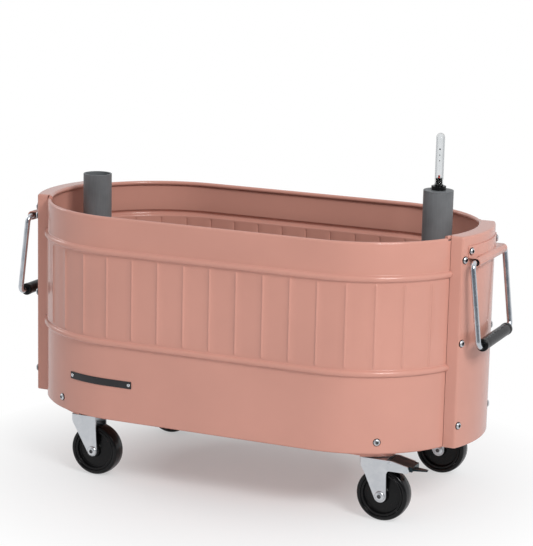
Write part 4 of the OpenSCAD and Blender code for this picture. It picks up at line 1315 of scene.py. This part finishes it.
# %% Width of a soft edge, mm
SOFT_EDGE = {
    "coral_paint": 0.35,
    "coral_bracket": 0.4,
    "zinc_plate": 0.3,
    "chrome_wire": 0.2,
    "black_plastic": 0.5,
    "grey_plastic": 0.5,
    "clear_plastic": 0.25,
    "float_plastic": 1.2,
    "plate_enamel": 0.25,
}
SHARP = math.radians(38)
SHORTEST = 0.02
FLAT, FLAT_BRACKET = 0.6, 0.05
print("widest soft edge, mm:", max(SOFT_EDGE.values()))

# %% [markdown]
# ## Softening one solid
# The brake pedal's tab is also drawn in on the way: it tapers to a narrow tip, which its solid leaves out.

# %% Softening one solid
TAB_LENGTH, TAB_HALF, TAB_ROOT, TAB_TIP, TAB_SLACK = 18, 8.2, 0.95, 0.32, 0.02


def narrow_tab(shape, node):
    """Draws in the pedal's tab, from its root to a narrow tip."""
    tip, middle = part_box(node)[1].x, middle_of(node).y
    for point in shape.verts:
        along = 1 - (tip - point.co.x) / (TAB_LENGTH * MM)
        aside = point.co.y - middle
        if along > -TAB_SLACK and abs(aside) < TAB_HALF * MM:
            share = TAB_ROOT + (TAB_TIP - TAB_ROOT) * max(0, along)
            point.co.y = middle + aside * share


def softened(node, width):
    shape = bmesh.new()
    shape.from_mesh(nodes[node].data)
    bmesh.ops.remove_doubles(shape, verts=shape.verts, dist=0.004 * MM)
    if node.endswith("brake_pedal"):
        narrow_tab(shape, node)
    flat = math.radians(FLAT_BRACKET if node.endswith("handle_bracket") else FLAT)
    bmesh.ops.dissolve_limit(shape, angle_limit=flat, verts=list(shape.verts), edges=list(shape.edges))
    edges = [
        e
        for e in shape.edges
        if len(e.link_faces) == 2 and e.calc_face_angle(0) > SHARP and e.calc_length() > SHORTEST * MM
    ]
    mark = shape.loops.layers.float.new("edge")
    made = bmesh.ops.bevel(
        shape,
        geom=edges,
        offset=width * MM,
        offset_type="OFFSET",
        segments=2,
        profile=0.5,
        affect="EDGES",
        material=-1,
        clamp_overlap=True,
    )
    for face in made["faces"]:
        for loop in face.loops:
            loop[mark] = 1
    bmesh.ops.triangulate(shape, faces=[f for f in shape.faces if len(f.verts) > 4])
    return shape


print("kinds of soft edge:", len(set(SOFT_EDGE.values())))

# %% [markdown]
# ## All the other solids
# The record says which finish a solid has and which body it moves with. What the pieces above stand for is
# left out. Weighted normals keep the flat faces flat where a bevel meets them.

# %% All the other solids
done = {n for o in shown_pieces() for n in o.get("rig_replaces", [])}
record = frame["record"]
slots = {entry["node"]: entry["material_slot"] for entry in record["subparts"]}
body_of_node = {n: body for body, members in record["behaviour"]["bodies"].items() for n in members}
for node in sorted(set(nodes) - done):
    slot = slots[node]
    finish = "pedal_black" if node.endswith("brake_pedal") else slot
    shape = softened(node, SOFT_EDGE[slot])
    piece = add_piece(shape, f"{node}_soft", body_of_node[node], [node], slot, finish=finish)
    if slot != "coral_bracket":
        add_modifier(piece, "WEIGHTED_NORMAL", keep_sharp=True, weight=80)
print("softened:", len(set(nodes) - done))

# %% [markdown]
# ## Studio
# A plain studio: one large soft lamp above, in front and to the right, a weaker one from the left, and an
# even pale world. The floor is pale too. What the camera sees behind the planter is white, but that white
# doesn't light the object more: it is kept to camera, glossy and transmission rays.

# %% Floor
FLOOR_HALF, FLOOR_GLOW = 9, 0.24
SHADOW_NEAR, SHADOW_FAR = 0.13, 0.5
DARK_FROM, DARK_TO = 0.55, 1.5
ROOM_LIGHT, ROOM_DARK = (0.74, 0.745, 0.76, 1), (0.18, 0.19, 0.21, 1)
DARK_SIDE = (0.39, -0.9, 0.18)


def add_floor():
    shape = bmesh.new()
    bmesh.ops.create_grid(shape, x_segments=1, y_segments=1, size=FLOOR_HALF)
    mesh = bpy.data.meshes.new("floor")
    shape.to_mesh(mesh)
    shape.free()
    paper = Finish("floor_paper")
    cloud = paper.noise(900, 2)
    paper.set(Base_Color=paper.mix(cloud, tone(236, 236, 237), tone(242, 242, 242)))
    paper.set(Roughness=0.75 + cloud * 0.1, Specular_IOR_Level=0.1)
    away = paper.value("ShaderNodeVectorMath", {"operation": "LENGTH"}, {0: paper.place}, "Value")
    rays = paper.node("ShaderNodeLightPath", {}, {})
    seen = Value(paper, rays.outputs["Is Camera Ray"]) + Value(paper, rays.outputs["Is Glossy Ray"])
    seen = seen + Value(paper, rays.outputs["Is Transmission Ray"])
    white = paper.node("ShaderNodeEmission", {}, {"Color": WHITE, "Strength": 1.0})
    share = seen * (FLOOR_GLOW + away.spread(SHADOW_NEAR, SHADOW_FAR) * (1 - FLOOR_GLOW))
    towards = paper.value(
        "ShaderNodeVectorMath", {"operation": "DOT_PRODUCT"}, {0: paper.place, 1: DARK_SIDE}, "Value"
    )
    mirrored = paper.mix(towards.spread(DARK_FROM, DARK_TO), ROOM_LIGHT, ROOM_DARK)
    glossy = Value(paper, rays.outputs["Is Glossy Ray"])
    paper.feed(white.inputs["Color"], paper.mix(glossy, WHITE, mirrored))
    blend = paper.node(
        "ShaderNodeMixShader", {}, {0: share, 1: paper.shader.outputs[0], 2: white.outputs[0]}
    )
    paper.feed(paper.tree.nodes["Material Output"].inputs["Surface"], blend.outputs[0])
    mesh.materials.append(paper.material)
    floor = bpy.data.objects.new("floor", mesh)
    bpy.context.scene.collection.objects.link(floor)
    return floor


print("floor, m across:", round(add_floor().dimensions.x, 1))

# %% [markdown]
# ## Lamps
# Area lamps are used because a studio's soft boxes give soft edged shadows. Both look at the middle of the
# trough. The weaker one only keeps the left side from going flat. A lamp's place and size are in metres,
# its power in watts.

# %% Lamps
LAMP_AIM = (0, 0, 0.25)
LAMPS = {"main": ((2.3, -1.9, 2.4), 1.1, 72), "left": ((-2.6, 0.5, 1.4), 0.8, 6)}


def add_lamp(name, place, size, power):
    data = bpy.data.lights.new(name, "AREA")
    data.energy = power
    data.size = size
    lamp = bpy.data.objects.new(name, data)
    bpy.context.scene.collection.objects.link(lamp)
    way = Vector(LAMP_AIM) - Vector(place)
    lamp.matrix_world = Matrix.Translation(place) @ way.to_track_quat("-Z", "Y").to_matrix().to_4x4()


for name, (place, size, power) in LAMPS.items():
    add_lamp(name, place, size, power)
print("lamps:", len(bpy.data.lights))

# %% [markdown]
# ## World
# The world is even and pale for the surfaces it lights. What a surface mirrors is another matter: a metal
# that mirrors only white looks like white paint, so rays of reflection see a room that gets darker behind
# the camera.

# %% World
WORLD_LIGHT = 0.5
ROOM_FADE = (0.35, 0.85)


def add_world():
    """Even light for the object, white for the camera, and a room with a dark side for reflections."""
    world = bpy.data.worlds.new("studio")
    world.use_nodes = True
    tree = world.node_tree

    def put(kind, *sources):
        node = tree.nodes.new(kind)
        for socket, source in zip(node.inputs, sources):
            if isinstance(source, bpy.types.NodeSocket):
                tree.links.new(source, socket)
            elif source is not None:
                socket.default_value = source
        return node

    rays = put("ShaderNodeLightPath")
    place = put("ShaderNodeTexCoord")
    facing = put("ShaderNodeVectorMath", place.outputs["Generated"], DARK_SIDE)
    facing.operation = "DOT_PRODUCT"
    room = put("ShaderNodeValToRGB", facing.outputs["Value"])
    for stop, position, colour in zip(room.color_ramp.elements, ROOM_FADE, (ROOM_LIGHT, ROOM_DARK)):
        stop.position = position
        stop.color = colour
    light = put("ShaderNodeBackground", (0.96, 0.97, 1, 1), WORLD_LIGHT)
    seen = put("ShaderNodeBackground", WHITE, 1.0)
    mirrored = put("ShaderNodeBackground", room.outputs["Color"], 1.0)
    whole = light
    for ray, other in (("Glossy", mirrored), ("Transmission", seen), ("Camera", seen)):
        share = rays.outputs[f"Is {ray} Ray"]
        whole = put("ShaderNodeMixShader", share, whole.outputs[0], other.outputs[0])
    tree.links.new(whole.outputs[0], tree.nodes["World Output"].inputs["Surface"])
    bpy.context.scene.world = world


add_world()
print("world light:", WORLD_LIGHT)
